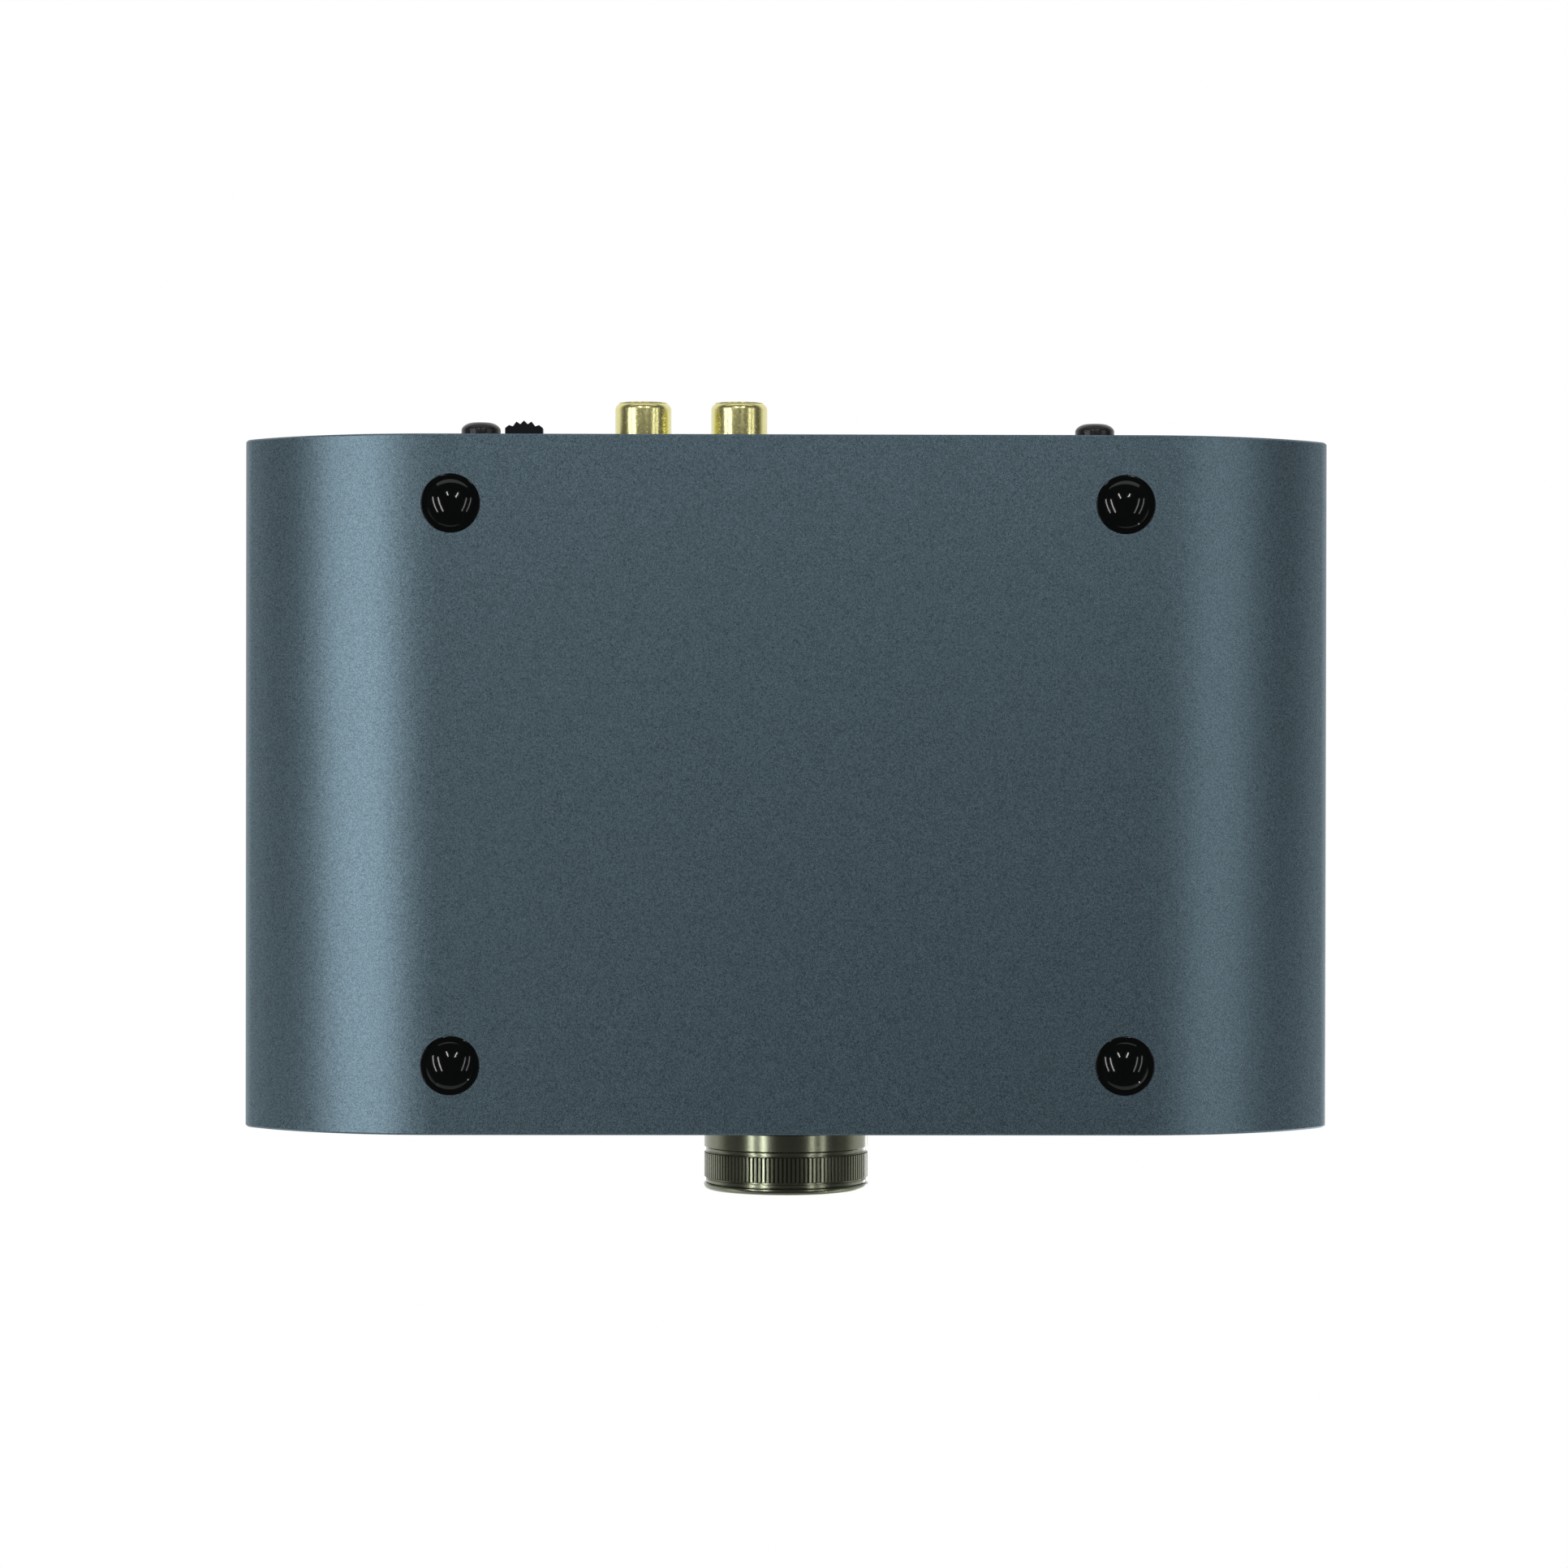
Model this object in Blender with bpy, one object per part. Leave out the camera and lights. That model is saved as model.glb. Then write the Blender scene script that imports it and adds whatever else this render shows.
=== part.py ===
# Desktop headphone amplifier: an extruded sleeve with let-in panels, a knurled volume knob at the front,
# phono sockets and a slide switch at the rear, and the board with its parts inside.
# All sizes are in metres. X runs to the user's right, Y to the rear and Z up. The origin is on the
# surface that the feet stand on, under the middle of the whole amplifier, knob and sockets included.

import math

import bmesh
import bpy

# Fits
FIT_GAP = 0.0003
TRIM_GAP = 0.0001
CUT_OVERRUN = 0.0010
MERGE_DISTANCE = 0.000001

# Housing sleeve
HOUSING_WIDTH = 0.1600
HOUSING_DEPTH = 0.1013
HOUSING_HEIGHT = 0.0338
SHOULDER_RADIUS = 0.0360
END_RADIUS = 0.0056
WALL = 0.0020
END_CHAMFER = 0.00025
SHOULDER_STEPS = 10
END_STEPS = 6

# Feet
FOOT_SPACING_X = 0.0976
FOOT_SPACING_Y = 0.0812
FOOT_RADIUS = 0.00395
FOOT_HEIGHT = 0.0022
FOOT_SKIRT = 0.0004
FOOT_FLAT_RADIUS = 0.0010
FOOT_RECESS_DEPTH = 0.0010
FOOT_RECESS_RADIUS = 0.0043

# Panels and the screws that hold the rear one
PANEL_THICKNESS = 0.0020
PANEL_RECESS = 0.00015
PANEL_CHAMFER = 0.0002
SCREW_SPACING_X = 0.0894
SCREW_INSET = 0.0058
SCREW_RADIUS = 0.0015
SCREW_LENGTH = 0.0080
SCREW_HEAD_RADIUS = 0.00285
SCREW_HEAD_HEIGHT = 0.0020
SCREW_HEAD_SIDE = 0.00095
SCREW_HEAD_FLAT_RADIUS = 0.0013
SCREW_SOCKET_RADIUS = 0.00115
SCREW_SOCKET_DEPTH = 0.0011
PORT_RADIUS = 0.0030

# Main board and the rails that hold it
BOARD_THICKNESS = 0.0016
BOARD_SIDE_CLEARANCE = 0.0006
BOARD_END_CLEARANCE = 0.0008
RAIL_THICKNESS = 0.0012
RAIL_GRIP = 0.0022

# Volume knob, measured outwards from the sleeve's front end
KNOB_REACH = 0.0092
KNOB_RADIUS = 0.0122
KNOB_COLLAR_RADIUS = 0.0121
KNOB_BACK = 0.0004
KNOB_COLLAR_END = 0.00298
KNOB_LEDGE_RADIUS = 0.01185
KNOB_GROOVE_RADIUS = 0.0115
KNOB_GROOVE_WIDTH = 0.00022
KNURL_START = 0.00362
KNURL_END = 0.0075
KNURL_COUNT = 120
KNURL_DEPTH = 0.00032
KNOB_LINE_WIDTH = 0.00014
KNOB_FLANGE_START = 0.00826
KNOB_RIM_RADIUS = 0.0007
KNOB_EDGE_CHAMFER = 0.00012
KNOB_DISH_RADIUS = 0.0104
KNOB_DISH_DEPTH = 0.00025
KNOB_POCKET_RADIUS = 0.0078
KNOB_WEB = 0.0056
KNOB_FACE_WALL = 0.0010
POINTER_LENGTH = 0.0042
POINTER_WIDTH = 0.0008
POINTER_DEPTH = 0.0004
POINTER_RIM_GAP = 0.0010

# Potentiometer
POT_WIDTH = 0.0120
POT_DEPTH = 0.0095
POT_TOP = 0.0058
POT_SHAFT_RADIUS = 0.0030
POT_SHAFT_FLAT = 0.0015
POT_SHAFT_IN_CASE = 0.0050
POT_BUSHING_RADIUS = 0.0045
POT_BUSHING_REACH = 0.0029
POT_WASHER_RADIUS = 0.0064
POT_WASHER_THICKNESS = 0.0004
POT_NUT_ACROSS_FLATS = 0.0120
POT_NUT_THICKNESS = 0.0020

# Headphone sockets at the front, placed by shares of half the housing's width
LARGE_SOCKET_SHARE = 0.375
LARGE_SOCKET_BORE = 0.00325
LARGE_SOCKET_BARREL = 0.0050
LARGE_SOCKET_WIDTH = 0.0140
LARGE_SOCKET_DEPTH = 0.0260
SMALL_SOCKET_SHARE = 0.65
SMALL_SOCKET_BORE = 0.00225
SMALL_SOCKET_BARREL = 0.0037
SMALL_SOCKET_WIDTH = 0.0100
SMALL_SOCKET_DEPTH = 0.0170
SOCKET_RING_WIDTH = 0.0014
SOCKET_RING_REACH = 0.0007
SOCKET_TOP_MARGIN = 0.0010

# Buttons and the status light at the front, placed by shares of half the housing's width
POWER_BUTTON_SHARE = -0.65
GAIN_BUTTON_SHARE = -0.40
LIGHT_SHARE = -0.525
BUTTON_RADIUS = 0.0026
BUTTON_REACH = 0.0010
BUTTON_EDGE = 0.0003
BUTTON_TRAVEL = 0.0005
BUTTON_FLANGE_RADIUS = 0.0034
BUTTON_FLANGE_THICKNESS = 0.0008
BUTTON_STEM_RADIUS = 0.0012
BUTTON_STEM_LENGTH = 0.0030
PUSH_SWITCH_WIDTH = 0.0062
PUSH_SWITCH_DEPTH = 0.0042
PUSH_SWITCH_TOP = 0.0030
LIGHT_RADIUS = 0.0010
LIGHT_LENGTH = 0.0060
LIGHT_LAMP_SIZE = 0.0024
LIGHT_LAMP_RISE = 0.0016

# Phono sockets at the rear
JACK_REACH = 0.0057
JACK_SPACING = 0.0142
JACK_PAIR_X = 0.0142
JACK_RADIUS = 0.00415
JACK_EDGE_RADIUS = 0.0010
JACK_SHELL_WALL = 0.00065
JACK_INSULATOR_RADIUS = 0.0032
JACK_INSULATOR_BORE = 0.00245
JACK_INSULATOR_SET_BACK = 0.0003
JACK_CONTACT_RADIUS = 0.00215
JACK_CONTACT_BORE = 0.00165
JACK_CONTACT_SET_BACK = 0.0006
JACK_BLOCK_WIDTH = 0.0264
JACK_BLOCK_DEPTH = 0.0100
JACK_BLOCK_TOP = 0.0062

# Slide switch at the rear
SLIDER_X = 0.0389
SLIDER_WIDTH = 0.0056
SLIDER_HEIGHT = 0.0028
SLIDER_REACH = 0.00305
SLIDER_END_RADIUS = 0.0040
SLIDER_TEETH = 5
SLIDER_TOOTH_PITCH = 0.00111
SLIDER_TOOTH_DEPTH = 0.0005
SLIDER_CORNER_DROP = 0.00044
SLIDER_TRAVEL = 0.0040
SLIDER_IN_CASE = 0.0024
SLIDE_CASE_DEPTH = 0.0065
SLIDE_CASE_MARGIN = 0.0022
SLIDE_CASE_TOP = 0.0036

# Line input and power inlet at the rear
LINE_INPUT_X = -0.0140
LINE_INPUT_BORE = 0.0018
LINE_INPUT_BARREL = 0.0030
LINE_INPUT_WIDTH = 0.0080
LINE_INPUT_DEPTH = 0.0130
POWER_INLET_X = -0.0330
POWER_INLET_BORE = 0.0028
POWER_INLET_BARREL = 0.0040
POWER_INLET_WIDTH = 0.0094
POWER_INLET_DEPTH = 0.0120
POWER_INLET_BORE_DEPTH = 0.0090
POWER_PIN_RADIUS = 0.0010
POWER_PIN_SET_BACK = 0.0012

# Parts on the board
CAPACITOR_RADIUS = 0.0040
CAPACITOR_HEIGHT = 0.0115
CAPACITOR_CRIMP_HEIGHT = 0.0018
CAPACITOR_CRIMP_DEPTH = 0.0003
CAPACITOR_PITCH = 0.0110
FILTER_PAIR_X = -0.0280
FILTER_PAIR_Y = 0.0200
COUPLING_PAIR_X = 0.0250
COUPLING_PAIR_Y = 0.0020
CHIP_WIDTH = 0.0062
CHIP_DEPTH = 0.0050
CHIP_HEIGHT = 0.0017
CHIP_PAIR_X = -0.0060
CHIP_PAIR_Y = -0.0080
CHIP_PITCH = 0.0140
RELAY_WIDTH = 0.0150
RELAY_DEPTH = 0.0075
RELAY_HEIGHT = 0.0100
RELAY_X = 0.0040
RELAY_Y = 0.0220
REGULATOR_WIDTH = 0.0065
REGULATOR_DEPTH = 0.0036
REGULATOR_HEIGHT = 0.0017
REGULATOR_X = -0.0380
REGULATOR_Y = -0.0020
INDUCTOR_WIDTH = 0.0070
INDUCTOR_HEIGHT = 0.0042
INDUCTOR_X = -0.0240
INDUCTOR_Y = 0.0040

# Places that follow from the sizes above
FRONT_Y = (KNOB_REACH - HOUSING_DEPTH - JACK_REACH) / 2
REAR_Y = FRONT_Y + HOUSING_DEPTH
CENTRE_Y = (FRONT_Y + REAR_Y) / 2
UNDERSIDE_Z = FOOT_HEIGHT + TRIM_GAP - FOOT_RECESS_DEPTH
AXIS_Z = UNDERSIDE_Z + HOUSING_HEIGHT / 2
END_CENTRE_X = HOUSING_WIDTH / 2 - END_RADIUS
SHOULDER_DROP = SHOULDER_RADIUS - HOUSING_HEIGHT / 2
SHOULDER_RUN = math.sqrt((SHOULDER_RADIUS - END_RADIUS) ** 2 - SHOULDER_DROP**2)
SHOULDER_SWEEP = math.atan2(SHOULDER_RUN, SHOULDER_DROP)
FLAT_HALF_WIDTH = END_CENTRE_X - SHOULDER_RUN
PANEL_FACE = -PANEL_RECESS
PANEL_BACK = PANEL_FACE - PANEL_THICKNESS
SEAT = PANEL_BACK - FIT_GAP
BOARD_BOTTOM_Z = UNDERSIDE_Z + SCREW_INSET + PORT_RADIUS + FIT_GAP
BOARD_TOP_Z = BOARD_BOTTOM_Z + BOARD_THICKNESS
STANDING_Z = BOARD_TOP_Z + FIT_GAP
LARGE_SOCKET_X = LARGE_SOCKET_SHARE * HOUSING_WIDTH / 2
SMALL_SOCKET_X = SMALL_SOCKET_SHARE * HOUSING_WIDTH / 2
POWER_BUTTON_X = POWER_BUTTON_SHARE * HOUSING_WIDTH / 2
GAIN_BUTTON_X = GAIN_BUTTON_SHARE * HOUSING_WIDTH / 2
LIGHT_X = LIGHT_SHARE * HOUSING_WIDTH / 2
SLOT_CENTRE_X = SLIDER_X - SLIDER_TRAVEL / 2
SLOT_WIDTH = SLIDER_WIDTH + SLIDER_TRAVEL + 2 * FIT_GAP
SLOT_HEIGHT = SLIDER_HEIGHT + 2 * FIT_GAP


# Finishes


def finish(name, colour, roughness, metallic):
    material = bpy.data.materials.new(name)
    material.use_nodes = True
    shader = material.node_tree.nodes["Principled BSDF"]
    shader.inputs["Base Color"].default_value = (*colour, 1)
    shader.inputs["Roughness"].default_value = roughness
    shader.inputs["Metallic"].default_value = metallic
    material.diffuse_color = (*colour, 1)
    return material


def make_finishes():
    return {
        "anodised": finish("blue_grey_anodised", (0.10, 0.15, 0.18), 0.42, 0.9),
        "panel": finish("panel_anodised", (0.07, 0.10, 0.12), 0.45, 0.9),
        "knob": finish("gunmetal", (0.20, 0.19, 0.16), 0.28, 1.0),
        "gold": finish("gold_plate", (0.86, 0.65, 0.27), 0.16, 1.0),
        "steel": finish("bright_steel", (0.60, 0.60, 0.60), 0.30, 1.0),
        "black_steel": finish("blackened_steel", (0.02, 0.02, 0.02), 0.35, 0.6),
        "black_plastic": finish("black_plastic", (0.02, 0.02, 0.02), 0.50, 0.0),
        "white_plastic": finish("white_plastic", (0.75, 0.75, 0.72), 0.45, 0.0),
        "red_plastic": finish("red_plastic", (0.55, 0.03, 0.03), 0.45, 0.0),
        "rubber": finish("black_rubber", (0.012, 0.014, 0.015), 0.22, 0.0),
        "board": finish("board_green", (0.02, 0.10, 0.05), 0.45, 0.0),
        "can": finish("capacitor_sleeve", (0.05, 0.05, 0.09), 0.40, 0.0),
        "lens": finish("light_lens", (0.80, 0.85, 0.90), 0.20, 0.0),
        "ferrite": finish("ferrite", (0.06, 0.06, 0.06), 0.60, 0.0),
        "relay": finish("relay_case", (0.70, 0.45, 0.12), 0.45, 0.0),
    }


# Outlines and mesh makers


def arc(centre_u, centre_v, radius, start, end, steps):
    """Points along an arc, both ends included, with angles in degrees from the first axis."""
    angles = [math.radians(start + (end - start) * step / steps) for step in range(steps + 1)]
    return [(centre_u + radius * math.cos(a), centre_v + radius * math.sin(a)) for a in angles]


def round_hole(centre_u, centre_v, radius, steps=20):
    """A closed circle as an outline."""
    return arc(centre_u, centre_v, radius, 0, 360 - 360 / steps, steps - 1)


def section(inset):
    """The housing's section in X and Z, set in evenly from the outer surface."""
    sweep = math.degrees(SHOULDER_SWEEP)
    shoulder = arc(FLAT_HALF_WIDTH, -SHOULDER_DROP, SHOULDER_RADIUS - inset, 90, 90 - sweep, SHOULDER_STEPS)
    end = arc(END_CENTRE_X, 0, END_RADIUS - inset, 90 - sweep, sweep - 90, END_STEPS)
    right = shoulder + end[1:-1] + [(x, -z) for x, z in reversed(shoulder)]
    return [(x, z + AXIS_Z) for x, z in right + [(-x, z) for x, z in reversed(right)]]


def half_width_at(z, inset):
    """Half the width of the set-in section at a height."""
    rise = abs(z - AXIS_Z)
    if rise > (END_RADIUS - inset) * math.cos(SHOULDER_SWEEP):
        return FLAT_HALF_WIDTH + math.sqrt((SHOULDER_RADIUS - inset) ** 2 - (rise + SHOULDER_DROP) ** 2)
    return END_CENTRE_X + math.sqrt((END_RADIUS - inset) ** 2 - rise**2)


def place(name, mesh_maker, material, location=(0, 0, 0)):
    """Turns a bmesh into a named object with smooth faces between sharp edges."""
    bmesh.ops.remove_doubles(mesh_maker, verts=mesh_maker.verts, dist=MERGE_DISTANCE)
    bmesh.ops.recalc_face_normals(mesh_maker, faces=mesh_maker.faces)
    if mesh_maker.calc_volume(signed=True) < 0:
        bmesh.ops.reverse_faces(mesh_maker, faces=mesh_maker.faces)
    mesh = bpy.data.meshes.new(name)
    mesh_maker.to_mesh(mesh)
    mesh_maker.free()
    mesh.shade_smooth()
    mesh.set_sharp_from_angle(angle=math.radians(30))
    made = bpy.data.objects.new(name, mesh)
    made.location = location
    bpy.context.scene.collection.objects.link(made)
    if material:
        mesh.materials.append(material)
    return made


def extruded(outlines, start, end, to_point):
    """Solids from flat outlines, extruded from start to end along the axis that to_point leaves out."""
    solid = bmesh.new()
    for outline in outlines:
        face = solid.faces.new([solid.verts.new(to_point(u, v, start)) for u, v in outline])
        grown = bmesh.ops.extrude_face_region(solid, geom=[face])["geom"]
        moved = [part for part in grown if isinstance(part, bmesh.types.BMVert)]
        origin = to_point(0, 0, start)
        target = to_point(0, 0, end)
        shift = [there - here for here, there in zip(origin, target)]
        bmesh.ops.translate(solid, verts=moved, vec=shift)
    return solid


def along_y(outlines, start, end):
    return extruded(outlines, start, end, lambda u, v, w: (u, w, v))


def along_z(outlines, start, end):
    return extruded(outlines, start, end, lambda u, v, w: (u, v, w))


def turned(profile, segments, axis):
    """A solid of revolution. The profile is (radius, distance along the axis)."""
    solid = bmesh.new()
    if axis == "Y":
        points = [solid.verts.new((radius, along, 0)) for radius, along in profile]
        direction = (0, 1, 0)
    else:
        points = [solid.verts.new((radius, 0, along)) for radius, along in profile]
        direction = (0, 0, 1)
    edges = [solid.edges.new(pair) for pair in zip(points, points[1:])]
    if profile[0][0] and profile[-1][0]:
        edges.append(solid.edges.new((points[-1], points[0])))
    bmesh.ops.spin(
        solid,
        geom=points + edges,
        cent=(0, 0, 0),
        axis=direction,
        angle=2 * math.pi,
        steps=segments,
        use_merge=True,
    )
    return solid


def outward(side, distance):
    """A Y coordinate, a distance out from the sleeve's front or rear end."""
    return FRONT_Y - distance if side == "front" else REAR_Y + distance


def facing(side, profile):
    """A profile measured outwards, turned to face the front or the rear."""
    direction = -1 if side == "front" else 1
    return [(radius, direction * along) for radius, along in profile]


def turned_at(name, side, x, profile, material, segments=40):
    """A turned piece on the line of the panel's fittings. Its origin is on the axis at the sleeve's end."""
    solid = turned(facing(side, profile), segments, "Y")
    return place(name, solid, material, (x, outward(side, 0), AXIS_Z))


def tube_profile(inner, outer, start, end):
    return [(inner, start), (outer, start), (outer, end), (inner, end)]


def rod_profile(radius, start, end):
    return [(0, start), (radius, start), (radius, end), (0, end)]


def block(name, x, y, z, material, chamfer=0):
    """A box between pairs of X, Y and Z coordinates, with its edges bevelled."""
    corners = [(x[0], y[0]), (x[1], y[0]), (x[1], y[1]), (x[0], y[1])]
    solid = along_z([corners], z[0], z[1])
    if chamfer:
        bmesh.ops.bevel(
            solid, geom=solid.edges[:], offset=chamfer, segments=1, profile=0.5, affect="EDGES"
        )
    return place(name, solid, material)


def combine(target, tool, operation):
    """Adds a Boolean with a helper that is drawn as wire and left out of the finished object."""
    tool.display_type = "WIRE"
    tool.hide_render = True
    modifier = target.modifiers.new(tool.name, "BOOLEAN")
    modifier.operation = operation
    modifier.object = tool
    return target


def around(value, half):
    return (value - half, value + half)


# Housing


def port_outline(x, upright):
    """A screw port: a round boss on a web that roots in the wall."""
    root = -HOUSING_HEIGHT / 2 + WALL / 2
    centre = -HOUSING_HEIGHT / 2 + SCREW_INSET
    dome = arc(x, centre, PORT_RADIUS, 0, 180, 8)
    outline = [(x - PORT_RADIUS, root), (x + PORT_RADIUS, root)] + dome
    return [(u, AXIS_Z + upright * v) for u, v in outline]


def rail_outline(side, low, high):
    inner = half_width_at(BOARD_BOTTOM_Z, WALL) - BOARD_SIDE_CLEARANCE - RAIL_GRIP
    outline = [
        (inner, low),
        (half_width_at(low, WALL / 2), low),
        (half_width_at(high, WALL / 2), high),
        (inner, high),
    ]
    return [(side * x, z) for x, z in outline]


def screw_places():
    """(name, X, Z) of the four rear screws and their ports."""
    rise = HOUSING_HEIGHT / 2 - SCREW_INSET
    for level, z in (("lower", AXIS_Z - rise), ("upper", AXIS_Z + rise)):
        for hand, x in (("left", -SCREW_SPACING_X / 2), ("right", SCREW_SPACING_X / 2)):
            yield f"{level}_{hand}", x, z


def foot_places():
    for end, y in (("front", -FOOT_SPACING_Y / 2), ("rear", FOOT_SPACING_Y / 2)):
        for hand, x in (("left", -FOOT_SPACING_X / 2), ("right", FOOT_SPACING_X / 2)):
            yield f"{end}_{hand}", x, CENTRE_Y + y


def make_sleeve(finishes):
    body = along_y([section(0)], FRONT_Y, REAR_Y)
    ends = [edge for edge in body.edges if edge.verts[0].co.y == edge.verts[1].co.y]
    bmesh.ops.bevel(body, geom=ends, offset=END_CHAMFER, segments=1, profile=0.5, affect="EDGES")
    sleeve = place("housing_sleeve", body, finishes["anodised"])

    hollow = along_y([section(WALL)], FRONT_Y - CUT_OVERRUN, REAR_Y + CUT_OVERRUN)
    combine(sleeve, place("sleeve_hollow", hollow, None), "DIFFERENCE")

    inner_ends = (outward("front", SEAT), outward("rear", SEAT))
    half = SCREW_SPACING_X / 2
    ports = [port_outline(x, upright) for x in (-half, half) for upright in (1, -1)]
    combine(sleeve, place("screw_ports", along_y(ports, *inner_ends), None), "UNION")

    below = BOARD_BOTTOM_Z - FIT_GAP
    above = BOARD_TOP_Z + FIT_GAP
    rails = []
    for side in (-1, 1):
        rails.append(rail_outline(side, below - RAIL_THICKNESS, below))
        rails.append(rail_outline(side, above, above + RAIL_THICKNESS))
    combine(sleeve, place("board_rails", along_y(rails, *inner_ends), None), "UNION")

    bores = [round_hole(x, z, SCREW_RADIUS + FIT_GAP, 12) for _, x, z in screw_places()]
    bore = along_y(bores, FRONT_Y, REAR_Y)
    combine(sleeve, place("port_bores", bore, None), "DIFFERENCE")

    recesses = [round_hole(x, y, FOOT_RECESS_RADIUS, 36) for _, x, y in foot_places()]
    recess = along_z(recesses, UNDERSIDE_Z - CUT_OVERRUN, UNDERSIDE_Z + FOOT_RECESS_DEPTH)
    combine(sleeve, place("foot_recesses", recess, None), "DIFFERENCE")


def make_feet(finishes):
    rise = FOOT_HEIGHT - FOOT_SKIRT
    cap = ((FOOT_RADIUS**2 - FOOT_FLAT_RADIUS**2) + rise**2) / (2 * rise)
    centre = math.sqrt(max(cap**2 - FOOT_FLAT_RADIUS**2, 0))
    first = math.degrees(math.asin(FOOT_FLAT_RADIUS / cap))
    last = math.degrees(math.atan2(FOOT_RADIUS, centre - rise))
    steps = 5
    dome = []
    for step in range(steps + 1):
        angle = math.radians(first + (last - first) * step / steps)
        dome.append((cap * math.sin(angle), centre - cap * math.cos(angle)))
    profile = [(0, 0)] + dome[:-1] + [(FOOT_RADIUS, rise), (FOOT_RADIUS, FOOT_HEIGHT), (0, FOOT_HEIGHT)]
    for name, x, y in foot_places():
        place(f"foot_{name}", turned(profile, 22, "Z"), finishes["rubber"], (x, y, 0))


# Panels


def panel(name, side, finishes, holes):
    """A flat panel let into one end of the sleeve. The holes are outlines in X and Z."""
    body = along_y([section(WALL + FIT_GAP)], outward(side, PANEL_BACK), outward(side, PANEL_FACE))
    face = outward(side, PANEL_FACE)
    rim = [edge for edge in body.edges if all(abs(vert.co.y - face) < FIT_GAP for vert in edge.verts)]
    bmesh.ops.bevel(body, geom=rim, offset=PANEL_CHAMFER, segments=1, profile=0.5, affect="EDGES")
    plate = place(name, body, finishes["panel"])
    start = outward(side, PANEL_BACK - CUT_OVERRUN)
    end = outward(side, PANEL_FACE + CUT_OVERRUN)
    combine(plate, place(f"{name}_holes", along_y(holes, start, end), None), "DIFFERENCE")


def make_front_panel(finishes):
    fittings = (
        (0, POT_BUSHING_RADIUS),
        (LARGE_SOCKET_X, LARGE_SOCKET_BARREL),
        (SMALL_SOCKET_X, SMALL_SOCKET_BARREL),
        (POWER_BUTTON_X, BUTTON_RADIUS),
        (GAIN_BUTTON_X, BUTTON_RADIUS),
        (LIGHT_X, LIGHT_RADIUS),
    )
    panel("front_panel", "front", finishes, [round_hole(x, AXIS_Z, r + FIT_GAP) for x, r in fittings])


def make_rear_panel(finishes):
    fittings = (
        (JACK_PAIR_X - JACK_SPACING / 2, JACK_RADIUS),
        (JACK_PAIR_X + JACK_SPACING / 2, JACK_RADIUS),
        (LINE_INPUT_X, LINE_INPUT_BARREL),
        (POWER_INLET_X, POWER_INLET_BARREL),
    )
    holes = [round_hole(x, AXIS_Z, r + FIT_GAP) for x, r in fittings]
    holes += [round_hole(x, z, SCREW_RADIUS + FIT_GAP, 16) for _, x, z in screw_places()]
    low, high = around(AXIS_Z, SLOT_HEIGHT / 2)
    left, right = around(SLOT_CENTRE_X, SLOT_WIDTH / 2)
    holes.append([(left, low), (right, low), (right, high), (left, high)])
    panel("rear_panel", "rear", finishes, holes)


def make_rear_screws(finishes):
    under = PANEL_FACE + TRIM_GAP
    top = under + SCREW_HEAD_HEIGHT
    shoulder = under + SCREW_HEAD_SIDE
    dome = []
    steps = 4
    for step in range(steps + 1):
        angle = math.radians(90 * step / steps)
        radius = SCREW_HEAD_FLAT_RADIUS + (SCREW_HEAD_RADIUS - SCREW_HEAD_FLAT_RADIUS) * math.cos(angle)
        dome.append((radius, shoulder + (top - shoulder) * math.sin(angle)))
    tip = under - SCREW_LENGTH
    shank = [(0, tip), (SCREW_RADIUS - TRIM_GAP, tip), (SCREW_RADIUS, tip + FIT_GAP), (SCREW_RADIUS, under)]
    profile = shank + [(SCREW_HEAD_RADIUS, under)] + dome + [(0, top)]
    for name, x, z in screw_places():
        location = (x, REAR_Y, z)
        screw = place(f"rear_screw_{name}", turned(profile, 16, "Y"), finishes["black_steel"], location)
        hexagon = round_hole(0, 0, SCREW_SOCKET_RADIUS, 6)
        socket = along_y([hexagon], top - SCREW_SOCKET_DEPTH, top + CUT_OVERRUN)
        combine(screw, place(f"socket_{name}", socket, None, location), "DIFFERENCE")


# Volume control


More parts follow.
